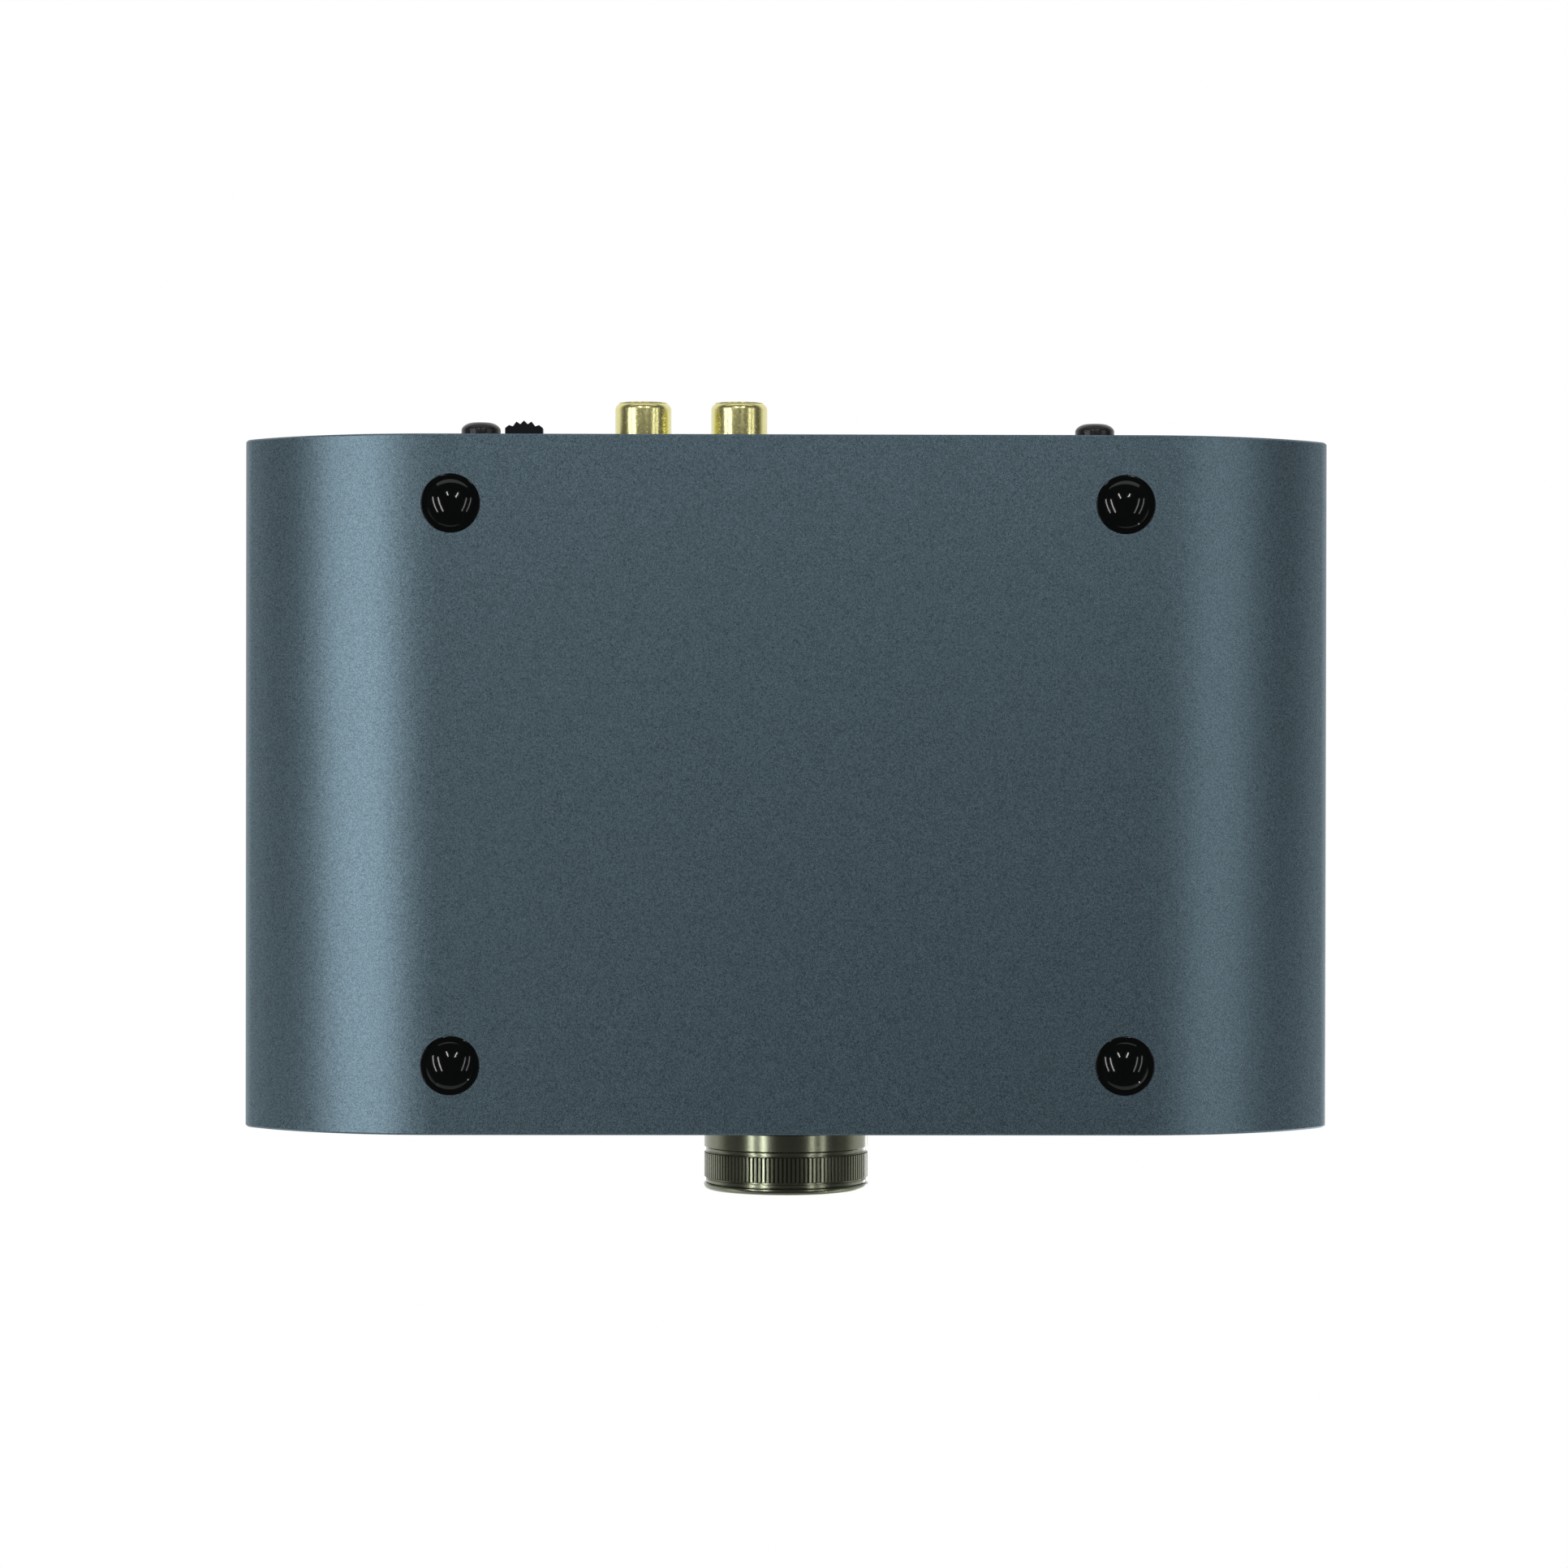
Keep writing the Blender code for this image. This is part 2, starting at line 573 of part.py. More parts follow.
def knob_profile():
    """The solid knob without its knurled band, as (radius, distance out from the sleeve's end)."""
    edge = KNOB_EDGE_CHAMFER
    rear_groove = KNURL_START - KNOB_GROOVE_WIDTH
    front_groove_end = KNURL_END + KNOB_GROOVE_WIDTH
    line = KNOB_FLANGE_START - KNOB_LINE_WIDTH
    rim = arc(KNOB_RADIUS - KNOB_RIM_RADIUS, KNOB_REACH - KNOB_RIM_RADIUS, KNOB_RIM_RADIUS, 0, 90, 4)
    return [
        (0, KNOB_BACK),
        (KNOB_COLLAR_RADIUS - edge, KNOB_BACK),
        (KNOB_COLLAR_RADIUS, KNOB_BACK + edge),
        (KNOB_COLLAR_RADIUS, KNOB_COLLAR_END - edge),
        (KNOB_COLLAR_RADIUS - edge, KNOB_COLLAR_END),
        (KNOB_LEDGE_RADIUS, KNOB_COLLAR_END + edge),
        (KNOB_LEDGE_RADIUS, rear_groove),
        (KNOB_GROOVE_RADIUS, rear_groove),
        (KNOB_GROOVE_RADIUS, front_groove_end),
        (KNOB_LEDGE_RADIUS, front_groove_end),
        (KNOB_LEDGE_RADIUS, line),
        (KNOB_GROOVE_RADIUS, line),
        (KNOB_GROOVE_RADIUS, KNOB_FLANGE_START),
        (KNOB_RADIUS - edge, KNOB_FLANGE_START),
        (KNOB_RADIUS, KNOB_FLANGE_START + edge),
        *rim,
        (KNOB_DISH_RADIUS, KNOB_REACH),
        (KNOB_DISH_RADIUS - KNOB_DISH_DEPTH, KNOB_REACH - KNOB_DISH_DEPTH),
        (0, KNOB_REACH - KNOB_DISH_DEPTH),
    ]


def knurl_outline():
    """A ring of straight ridges: a crest and a root for each."""
    points = []
    for step in range(2 * KNURL_COUNT):
        radius = KNOB_RADIUS - KNURL_DEPTH * (step % 2)
        angle = math.pi * step / KNURL_COUNT
        points.append((radius * math.cos(angle), radius * math.sin(angle)))
    return points


def flatted_circle(radius, flat):
    """A circle with one flat, below its centre."""
    start = math.degrees(math.asin(-flat / radius))
    return arc(0, 0, radius, start, 180 - start, 20)


def make_knob(finishes):
    location = (0, FRONT_Y, AXIS_Z)
    knob = turned_at("volume_knob", "front", 0, knob_profile(), finishes["knob"], 40)

    band = along_y([knurl_outline()], -KNURL_END, -KNURL_START)
    combine(knob, place("knurled_band", band, None, location), "UNION")

    pocket_profile = rod_profile(KNOB_POCKET_RADIUS, KNOB_BACK - CUT_OVERRUN, KNOB_REACH - KNOB_WEB)
    pocket = turned(facing("front", pocket_profile), 24, "Y")
    combine(knob, place("knob_pocket", pocket, None, location), "DIFFERENCE")

    shaft_hole = flatted_circle(POT_SHAFT_RADIUS + FIT_GAP, POT_SHAFT_FLAT + FIT_GAP)
    start = -(KNOB_REACH - KNOB_FACE_WALL)
    hole = along_y([shaft_hole], start, CUT_OVERRUN - (KNOB_REACH - KNOB_WEB))
    combine(knob, place("knob_shaft_hole", hole, None, location), "DIFFERENCE")

    high = KNOB_DISH_RADIUS - POINTER_RIM_GAP
    half = POINTER_WIDTH / 2
    slot = [(-half, high - POINTER_LENGTH), (half, high - POINTER_LENGTH), (half, high), (-half, high)]
    face = KNOB_REACH - KNOB_DISH_DEPTH
    pointer = along_y([slot], -(face + CUT_OVERRUN), -(face - POINTER_DEPTH))
    combine(knob, place("knob_pointer", pointer, None, location), "DIFFERENCE")


def make_potentiometer(finishes):
    location = (0, FRONT_Y, AXIS_Z)
    case_face = outward("front", SEAT)
    case = block(
        "volume_potentiometer_case",
        around(0, POT_WIDTH / 2),
        (case_face, case_face + POT_DEPTH),
        (STANDING_Z, AXIS_Z + POT_TOP),
        finishes["steel"],
        FIT_GAP,
    )
    bore = POT_SHAFT_RADIUS + FIT_GAP
    shaft_start = SEAT - POT_SHAFT_IN_CASE
    hole = turned(facing("front", rod_profile(bore, shaft_start - FIT_GAP, SEAT + CUT_OVERRUN)), 28, "Y")
    combine(case, place("potentiometer_bore", hole, None, location), "DIFFERENCE")

    bushing = tube_profile(bore, POT_BUSHING_RADIUS, SEAT + FIT_GAP, POT_BUSHING_REACH)
    turned_at("volume_bushing", "front", 0, bushing, finishes["steel"], 24)

    washer_start = PANEL_FACE + TRIM_GAP
    washer_end = washer_start + POT_WASHER_THICKNESS
    hole_radius = POT_BUSHING_RADIUS + FIT_GAP
    washer = tube_profile(hole_radius, POT_WASHER_RADIUS, washer_start, washer_end)
    turned_at("volume_washer", "front", 0, washer, finishes["steel"], 24)

    nut_start = washer_end + TRIM_GAP
    hexagon = round_hole(0, 0, POT_NUT_ACROSS_FLATS / 2 / math.cos(math.pi / 6), 6)
    nut_solid = along_y([hexagon], -(nut_start + POT_NUT_THICKNESS), -nut_start)
    nut = place("volume_nut", nut_solid, finishes["steel"], location)
    nut_hole = along_y([round_hole(0, 0, hole_radius)], -(nut_start + POT_NUT_THICKNESS + CUT_OVERRUN), 0)
    combine(nut, place("volume_nut_hole", nut_hole, None, location), "DIFFERENCE")

    shaft_end = KNOB_REACH - KNOB_FACE_WALL - FIT_GAP
    profile = rod_profile(POT_SHAFT_RADIUS, shaft_start, shaft_end)
    shaft = turned_at("volume_shaft", "front", 0, profile, finishes["steel"], 24)
    reach = POT_SHAFT_RADIUS + CUT_OVERRUN
    flat = [(-reach, -reach), (reach, -reach), (reach, -POT_SHAFT_FLAT), (-reach, -POT_SHAFT_FLAT)]
    flat_cut = along_y([flat], -(shaft_end + CUT_OVERRUN), -(KNOB_REACH - KNOB_WEB))
    combine(shaft, place("shaft_flat", flat_cut, None, location), "DIFFERENCE")


# Sockets


def panel_socket(name, side, x, width, depth, barrel, bore, bore_depth, barrel_end, material):
    """A socket on the board: a block behind the panel, a barrel through it, and a bore."""
    near = outward(side, SEAT)
    far = outward(side, SEAT - depth)
    top = AXIS_Z + barrel + SOCKET_TOP_MARGIN
    body = block(name, around(x, width / 2), tuple(sorted((near, far))), (STANDING_Z, top), material)
    location = (x, outward(side, 0), AXIS_Z)
    nose = turned(facing(side, rod_profile(barrel, SEAT - CUT_OVERRUN, barrel_end)), 24, "Y")
    combine(body, place(f"{name}_barrel", nose, None, location), "UNION")
    hole = turned(facing(side, rod_profile(bore, SEAT - bore_depth, barrel_end + CUT_OVERRUN)), 20, "Y")
    combine(body, place(f"{name}_bore", hole, None, location), "DIFFERENCE")


def ring_nut(name, side, x, barrel, material):
    """The round nut that shows outside the panel."""
    start = PANEL_FACE + TRIM_GAP
    inner = barrel + FIT_GAP
    outer = inner + SOCKET_RING_WIDTH
    edge = SOCKET_RING_REACH / 3
    profile = [
        (inner, start),
        (outer, start),
        (outer, SOCKET_RING_REACH - edge),
        (outer - edge, SOCKET_RING_REACH),
        (inner, SOCKET_RING_REACH),
    ]
    turned_at(name, side, x, profile, material, 24)


def make_headphone_sockets(finishes):
    panel_socket(
        "large_headphone_socket",
        "front",
        LARGE_SOCKET_X,
        LARGE_SOCKET_WIDTH,
        LARGE_SOCKET_DEPTH,
        LARGE_SOCKET_BARREL,
        LARGE_SOCKET_BORE,
        LARGE_SOCKET_DEPTH + CUT_OVERRUN,
        SOCKET_RING_REACH - TRIM_GAP,
        finishes["black_plastic"],
    )
    ring_nut("large_socket_ring", "front", LARGE_SOCKET_X, LARGE_SOCKET_BARREL, finishes["knob"])
    panel_socket(
        "small_headphone_socket",
        "front",
        SMALL_SOCKET_X,
        SMALL_SOCKET_WIDTH,
        SMALL_SOCKET_DEPTH,
        SMALL_SOCKET_BARREL,
        SMALL_SOCKET_BORE,
        SMALL_SOCKET_DEPTH + CUT_OVERRUN,
        SOCKET_RING_REACH - TRIM_GAP,
        finishes["black_plastic"],
    )
    ring_nut("small_socket_ring", "front", SMALL_SOCKET_X, SMALL_SOCKET_BARREL, finishes["knob"])


def make_line_input(finishes):
    panel_socket(
        "line_input_socket",
        "rear",
        LINE_INPUT_X,
        LINE_INPUT_WIDTH,
        LINE_INPUT_DEPTH,
        LINE_INPUT_BARREL,
        LINE_INPUT_BORE,
        LINE_INPUT_DEPTH + CUT_OVERRUN,
        SOCKET_RING_REACH - TRIM_GAP,
        finishes["black_plastic"],
    )
    ring_nut("line_input_ring", "rear", LINE_INPUT_X, LINE_INPUT_BARREL, finishes["steel"])


def make_power_inlet(finishes):
    panel_socket(
        "power_inlet",
        "rear",
        POWER_INLET_X,
        POWER_INLET_WIDTH,
        POWER_INLET_DEPTH,
        POWER_INLET_BARREL,
        POWER_INLET_BORE,
        POWER_INLET_BORE_DEPTH,
        PANEL_FACE,
        finishes["black_plastic"],
    )
    root = SEAT - POWER_INLET_BORE_DEPTH + FIT_GAP
    tip = PANEL_FACE - POWER_PIN_SET_BACK
    pin = [(0, root), (POWER_PIN_RADIUS, root), (POWER_PIN_RADIUS, tip - POWER_PIN_RADIUS / 2), (0, tip)]
    turned_at("power_inlet_pin", "rear", POWER_INLET_X, pin, finishes["steel"], 20)


def make_phono_sockets(finishes):
    near = outward("rear", SEAT)
    block(
        "phono_socket_block",
        around(JACK_PAIR_X, JACK_BLOCK_WIDTH / 2),
        (near - JACK_BLOCK_DEPTH, near),
        (STANDING_Z, AXIS_Z + JACK_BLOCK_TOP),
        finishes["black_plastic"],
        FIT_GAP,
    )
    root = SEAT + FIT_GAP
    shell_bore = JACK_RADIUS - JACK_SHELL_WALL
    edge = arc(JACK_RADIUS - JACK_EDGE_RADIUS, JACK_REACH - JACK_EDGE_RADIUS, JACK_EDGE_RADIUS, 0, 80, 2)
    shell = [(shell_bore, root), (JACK_RADIUS, root)] + edge + [(shell_bore, JACK_REACH)]
    insulator_end = JACK_REACH - JACK_INSULATOR_SET_BACK
    insulator = tube_profile(JACK_INSULATOR_BORE, JACK_INSULATOR_RADIUS, root, insulator_end)
    contact_end = JACK_REACH - JACK_CONTACT_SET_BACK
    contact = tube_profile(JACK_CONTACT_BORE, JACK_CONTACT_RADIUS, root, contact_end)
    for hand, side, colour in (("left", 1, "white_plastic"), ("right", -1, "red_plastic")):
        x = JACK_PAIR_X + side * JACK_SPACING / 2
        turned_at(f"{hand}_phono_shell", "rear", x, shell, finishes["gold"], 20)
        turned_at(f"{hand}_phono_insulator", "rear", x, insulator, finishes[colour], 24)
        turned_at(f"{hand}_phono_contact", "rear", x, contact, finishes["gold"], 16)


# Slide switch


def slider_outline():
    """The slider from above: a straight stem and a convex end cut into teeth."""
    half = SLIDER_WIDTH / 2
    centre = SLIDER_REACH - SLIDER_END_RADIUS
    crown = []
    for step in range(1, 2 * SLIDER_TEETH):
        x = (step - SLIDER_TEETH) * SLIDER_TOOTH_PITCH / 2
        depth = 0 if step % 2 else SLIDER_TOOTH_DEPTH
        crown.append((x, centre + math.sqrt(SLIDER_END_RADIUS**2 - x**2) - depth))
    corner = crown[0][1] - SLIDER_CORNER_DROP
    inner = SEAT - SLIDER_IN_CASE
    return [(-half, inner), (-half, corner)] + crown + [(half, corner), (half, inner)]


def make_slide_switch(finishes):
    low, high = around(AXIS_Z, SLIDER_HEIGHT / 2)
    slider = along_z([slider_outline()], low - AXIS_Z, high - AXIS_Z)
    place("input_slider", slider, finishes["black_plastic"], (SLIDER_X, REAR_Y, AXIS_Z))

    face = outward("rear", SEAT)
    half = SLOT_WIDTH / 2 + SLIDE_CASE_MARGIN
    case = block(
        "input_switch_case",
        around(SLOT_CENTRE_X, half),
        (face - SLIDE_CASE_DEPTH, face),
        (STANDING_Z, AXIS_Z + SLIDE_CASE_TOP),
        finishes["steel"],
    )
    depth = SLIDER_IN_CASE + FIT_GAP
    pocket = block(
        "input_switch_pocket",
        around(SLOT_CENTRE_X, SLOT_WIDTH / 2),
        (face - depth, face + CUT_OVERRUN),
        around(AXIS_Z, SLOT_HEIGHT / 2),
        None,
    )
    combine(case, pocket, "DIFFERENCE")


# Buttons and light


def make_button(name, x, finishes):
    """A push button that is kept in by its flange, over a push switch on the board."""
    cap_top = BUTTON_REACH
    flange_front = SEAT
    flange_back = flange_front - BUTTON_FLANGE_THICKNESS
    stem_end = flange_back - BUTTON_STEM_LENGTH
    profile = [
        (0, stem_end),
        (BUTTON_STEM_RADIUS, stem_end),
        (BUTTON_STEM_RADIUS, flange_back),
        (BUTTON_FLANGE_RADIUS, flange_back),
        (BUTTON_FLANGE_RADIUS, flange_front),
        (BUTTON_RADIUS, flange_front),
        (BUTTON_RADIUS, cap_top - BUTTON_EDGE),
        (BUTTON_RADIUS - BUTTON_EDGE, cap_top),
        (0, cap_top),
    ]
    turned_at(f"{name}_button", "front", x, profile, finishes["knob"], 24)

    switch_face = flange_back - BUTTON_TRAVEL - FIT_GAP
    near = outward("front", switch_face)
    switch = block(
        f"{name}_push_switch",
        around(x, PUSH_SWITCH_WIDTH / 2),
        (near, near + PUSH_SWITCH_DEPTH),
        (STANDING_Z, AXIS_Z + PUSH_SWITCH_TOP),
        finishes["black_plastic"],
    )
    bottom = stem_end - BUTTON_TRAVEL - FIT_GAP
    bore = rod_profile(BUTTON_STEM_RADIUS + FIT_GAP, bottom, switch_face + CUT_OVERRUN)
    hole = turned(facing("front", bore), 24, "Y")
    combine(switch, place(f"{name}_switch_bore", hole, None, (x, FRONT_Y, AXIS_Z)), "DIFFERENCE")


def make_status_light(finishes):
    end = PANEL_FACE - LIGHT_LENGTH
    pipe = rod_profile(LIGHT_RADIUS, end, PANEL_FACE)
    turned_at("status_light_pipe", "front", LIGHT_X, pipe, finishes["lens"], 20)
    near = outward("front", end - FIT_GAP)
    block(
        "status_lamp",
        around(LIGHT_X, LIGHT_LAMP_SIZE / 2),
        (near, near + LIGHT_LAMP_SIZE),
        (STANDING_Z, AXIS_Z + LIGHT_LAMP_RISE),
        finishes["white_plastic"],
    )


# Board and its parts


def make_board(finishes):
    half = half_width_at(BOARD_BOTTOM_Z, WALL) - BOARD_SIDE_CLEARANCE
    inner = PANEL_BACK - BOARD_END_CLEARANCE
    y = (outward("front", inner), outward("rear", inner))
    block("main_board", (-half, half), y, (BOARD_BOTTOM_Z, BOARD_TOP_Z), finishes["board"])


def standing_block(name, x, y, width, depth, height, material):
    z = (STANDING_Z, STANDING_Z + height)
    block(name, around(x, width / 2), around(CENTRE_Y + y, depth / 2), z, material, FIT_GAP)


def capacitor(name, x, y, finishes):
    """An electrolytic can with its crimped groove and rolled top."""
    radius = CAPACITOR_RADIUS
    waist = radius - CAPACITOR_CRIMP_DEPTH
    crimp = CAPACITOR_CRIMP_HEIGHT
    profile = [
        (0, 0),
        (radius, 0),
        (radius, crimp - CAPACITOR_CRIMP_DEPTH),
        (waist, crimp),
        (radius, crimp + CAPACITOR_CRIMP_DEPTH),
        (radius, CAPACITOR_HEIGHT - CAPACITOR_CRIMP_DEPTH),
        (waist, CAPACITOR_HEIGHT),
        (0, CAPACITOR_HEIGHT),
    ]
    place(name, turned(profile, 20, "Z"), finishes["can"], (x, CENTRE_Y + y, STANDING_Z))


def make_board_parts(finishes):
    for index, side in enumerate((-1, 1), 1):
        shift = side * CAPACITOR_PITCH / 2
        capacitor(f"filter_capacitor_{index}", FILTER_PAIR_X + shift, FILTER_PAIR_Y, finishes)
        capacitor(f"coupling_capacitor_{index}", COUPLING_PAIR_X + shift, COUPLING_PAIR_Y, finishes)
        x = CHIP_PAIR_X + side * CHIP_PITCH / 2
        size = (CHIP_WIDTH, CHIP_DEPTH, CHIP_HEIGHT)
        standing_block(f"amplifier_chip_{index}", x, CHIP_PAIR_Y, *size, finishes["black_plastic"])
    size = (RELAY_WIDTH, RELAY_DEPTH, RELAY_HEIGHT)
    standing_block("output_relay", RELAY_X, RELAY_Y, *size, finishes["relay"])
    size = (REGULATOR_WIDTH, REGULATOR_DEPTH, REGULATOR_HEIGHT)
    standing_block("voltage_regulator", REGULATOR_X, REGULATOR_Y, *size, finishes["black_plastic"])
    size = (INDUCTOR_WIDTH, INDUCTOR_WIDTH, INDUCTOR_HEIGHT)
    standing_block("power_inductor", INDUCTOR_X, INDUCTOR_Y, *size, finishes["ferrite"])


def main():
    for leftover in list(bpy.data.objects):
        bpy.data.objects.remove(leftover)
    finishes = make_finishes()
    make_sleeve(finishes)
    make_feet(finishes)
    make_front_panel(finishes)
    make_rear_panel(finishes)
    make_rear_screws(finishes)
    make_knob(finishes)
    make_potentiometer(finishes)
    make_headphone_sockets(finishes)
    make_button("power", POWER_BUTTON_X, finishes)
    make_button("gain", GAIN_BUTTON_X, finishes)
    make_status_light(finishes)
    make_phono_sockets(finishes)
    make_slide_switch(finishes)
    make_line_input(finishes)
    make_power_inlet(finishes)
    make_board(finishes)
    make_board_parts(finishes)


main()
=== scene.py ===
import math

import bmesh
import bpy
from mathutils import Matrix, Vector


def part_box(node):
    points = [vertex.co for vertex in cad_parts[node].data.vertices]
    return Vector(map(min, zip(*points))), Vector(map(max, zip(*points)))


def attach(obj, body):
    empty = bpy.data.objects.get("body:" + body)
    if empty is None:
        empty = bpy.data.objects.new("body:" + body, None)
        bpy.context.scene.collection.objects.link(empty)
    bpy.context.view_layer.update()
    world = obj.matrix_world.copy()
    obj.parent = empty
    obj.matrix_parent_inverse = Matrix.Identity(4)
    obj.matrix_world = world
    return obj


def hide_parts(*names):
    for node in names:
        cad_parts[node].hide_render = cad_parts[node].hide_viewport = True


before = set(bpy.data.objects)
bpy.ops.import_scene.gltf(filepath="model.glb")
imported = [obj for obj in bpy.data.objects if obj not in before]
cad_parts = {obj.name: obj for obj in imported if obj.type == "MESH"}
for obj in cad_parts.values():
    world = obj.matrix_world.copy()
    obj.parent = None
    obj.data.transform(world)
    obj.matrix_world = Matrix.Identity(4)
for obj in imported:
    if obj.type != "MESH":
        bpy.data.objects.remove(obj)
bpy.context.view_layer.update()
mm = 0.001

# Faces and axes that every piece shares, read from the frame
sleeveLow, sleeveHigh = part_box("housing_sleeve")
frontY, rearY = sleeveLow.y, sleeveHigh.y
axisZ = (sleeveLow.z + sleeveHigh.z) / 2

# Clearance, a small step, how far a cutter overruns, and the distance within which vertices are merged
fits = {"gap": 0.3 * mm, "trim": 0.1 * mm, "overrun": 1 * mm, "weld": 0.001 * mm}
# Steps round a turned piece and across a bevel, then the angles past which an edge is bevelled, shaded
# sharp on a plain piece, and shaded sharp on a turned one
fine = {"turn": 64, "bevel": 2, "bevelAngle": 35, "sharpAngle": 32, "turnedAngle": 40}
print("frame loaded,", len(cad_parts), "nodes")


def middle(node):
    low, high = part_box(node)
    return (low + high) / 2


def out(side, distance):    # a Y coordinate, out from the sleeve's front or rear end
    return frontY - distance if side == "front" else rearY + distance


# Mesh helpers

def arcPoints(centreU, centreV, radius, start, end, steps):    # angles count from the first axis
    angles = [math.radians(start + (end - start) * i / steps) for i in range(steps + 1)]
    return [(centreU + radius * math.cos(a), centreV + radius * math.sin(a)) for a in angles]


def ringPoints(u, v, radius, steps=fine["turn"]):
    return arcPoints(u, v, radius, 0, 360 - 360 / steps, steps - 1)


def plate(outlines, start, end, axis="Y"):    # the first outline is the rim, the others are holes in it
    bm = bmesh.new()
    edges = []
    for outline in outlines:
        if axis == "Y":
            corners = [bm.verts.new((u, start, v)) for u, v in outline]
        else:
            corners = [bm.verts.new((u, v, start)) for u, v in outline]
        edges += [bm.edges.new(pair) for pair in zip(corners, corners[1:] + corners[:1])]
    if len(outlines) == 1:
        bmesh.ops.contextual_create(bm, geom=edges)
    else:
        bmesh.ops.triangle_fill(bm, edges=edges, use_beauty=True)
    grown = bmesh.ops.extrude_face_region(bm, geom=bm.faces[:])
    moved = [part for part in grown["geom"] if isinstance(part, bmesh.types.BMVert)]
    lift = (0, end - start, 0) if axis == "Y" else (0, 0, end - start)
    bmesh.ops.translate(bm, verts=moved, vec=lift)
    bmesh.ops.recalc_face_normals(bm, faces=bm.faces)
    return bm


def turned(profile, x, y, z, steps=fine["turn"], axis="Y"):    # profile of (radius, distance along the axis)
    bm = bmesh.new()
    if axis == "Y":
        points = [bm.verts.new((x + radius, y + along, z)) for radius, along in profile]
    else:
        points = [bm.verts.new((x + radius, y, z + along)) for radius, along in profile]
    edges = [bm.edges.new(pair) for pair in zip(points, points[1:])]
    if profile[0][0] and profile[-1][0]:    # a ring's profile is closed, a solid's ends on the axis
        edges.append(bm.edges.new((points[-1], points[0])))
    direction = (0, 1, 0) if axis == "Y" else (0, 0, 1)
    bmesh.ops.spin(bm, geom=points + edges, cent=(x, y, z), axis=direction,
                   angle=2 * math.pi, steps=steps, use_merge=True)
    bmesh.ops.remove_doubles(bm, verts=bm.verts, dist=fits["weld"])
    bmesh.ops.recalc_face_normals(bm, faces=bm.faces)
    return bm


def turnedOut(side, profile, x, steps=fine["turn"]):    # the distances run out from the sleeve's end
    sign = -1 if side == "front" else 1
    return turned([(radius, sign * along) for radius, along in profile], x, out(side, 0), axisZ, steps)


def box(x, y, z):
    corners = [(x[0], y[0]), (x[1], y[0]), (x[1], y[1]), (x[0], y[1])]
    return plate([corners], z[0], z[1], "Z")


def about(value, half):
    return (value - half, value + half)


def roundEdges(bm, width, steps=fine["bevel"], where=None, sharper=fine["bevelAngle"]):
    edges = [e for e in bm.edges if e.is_manifold and e.calc_face_angle(0) > math.radians(sharper)]
    if where:    # only the edges whose two ends pass the test
        edges = [e for e in edges if all(where(v.co) for v in e.verts)]
    bmesh.ops.bevel(bm, geom=edges, offset=width, offset_type="OFFSET", segments=steps, profile=0.5,
                    affect="EDGES", material=-1, clamp_overlap=True)


def looseObject(name, bm):
    mesh = bpy.data.meshes.new(name)
    bm.to_mesh(mesh)
    bm.free()
    made = bpy.data.objects.new(name, mesh)
    bpy.context.scene.collection.objects.link(made)
    return made


def carved(bm, tool, operation="DIFFERENCE"):    # one solid cut by, or joined to, another
    body = looseObject("body", bm)
    cutter = looseObject("cutter", tool)
    modifier = body.modifiers.new("carve", "BOOLEAN")
    modifier.operation = operation
    modifier.object = cutter
    evaluated = body.evaluated_get(bpy.context.evaluated_depsgraph_get())
    result = bmesh.new()
    result.from_mesh(evaluated.to_mesh())
    evaluated.to_mesh_clear()
    for helper in (body, cutter):
        bpy.data.meshes.remove(helper.data)
    bmesh.ops.remove_doubles(result, verts=result.verts, dist=fits["weld"])
    return result


def piece(name, bm, coats, node, body="amplifier", sharp=fine["sharpAngle"], flats=False,
          paint=None):    # finished, parented to its body, and the node that it replaces is hidden
    bmesh.ops.remove_doubles(bm, verts=bm.verts, dist=fits["weld"])
    bmesh.ops.recalc_face_normals(bm, faces=bm.faces)
    if bm.calc_volume(signed=True) < 0:
        bmesh.ops.reverse_faces(bm, faces=bm.faces)
    if paint:    # says which of the coats each face takes
        for face in bm.faces:
            face.material_index = paint(face.calc_center_median())
    made = looseObject(name, bm)
    made.data.shade_smooth()
    made.data.set_sharp_from_angle(angle=math.radians(sharp))
    for coat in coats:
        made.data.materials.append(finishes[coat])
    if flats:    # keeps broad flats flat beside narrow rounds
        weighted = made.modifiers.new("flats", "WEIGHTED_NORMAL")
        weighted.keep_sharp = True
    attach(made, body)
    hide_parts(node)


# Finishes

def newMaterial(name):
    material = bpy.data.materials.new(name)
    material.use_nodes = True
    return material, material.node_tree, material.node_tree.nodes["Principled BSDF"]


def onObject(tree, kind, scale):    # a texture that stays with its piece
    coords = tree.nodes.new("ShaderNodeTexCoord")
    texture = tree.nodes.new(kind)
    texture.inputs["Scale"].default_value = scale
    tree.links.new(coords.outputs["Object"], texture.inputs["Vector"])
    return texture


def noiseOf(tree, size, detail=2):    # size is a grain's width
    noise = onObject(tree, "ShaderNodeTexNoise", 1 / size)
    noise.inputs["Detail"].default_value = detail
    return noise.outputs["Fac"]


def cellsOf(tree, size):    # one random value for each tiny facet of a blasted surface
    return onObject(tree, "ShaderNodeTexVoronoi", 1 / size).outputs["Color"]


def spread(tree, source, low, high, fromLow=0.3, fromHigh=0.7):
    node = tree.nodes.new("ShaderNodeMapRange")
    for name, value in (("From Min", fromLow), ("From Max", fromHigh), ("To Min", low), ("To Max", high)):
        node.inputs[name].default_value = value
    tree.links.new(source, node.inputs["Value"])
    return node.outputs["Result"]


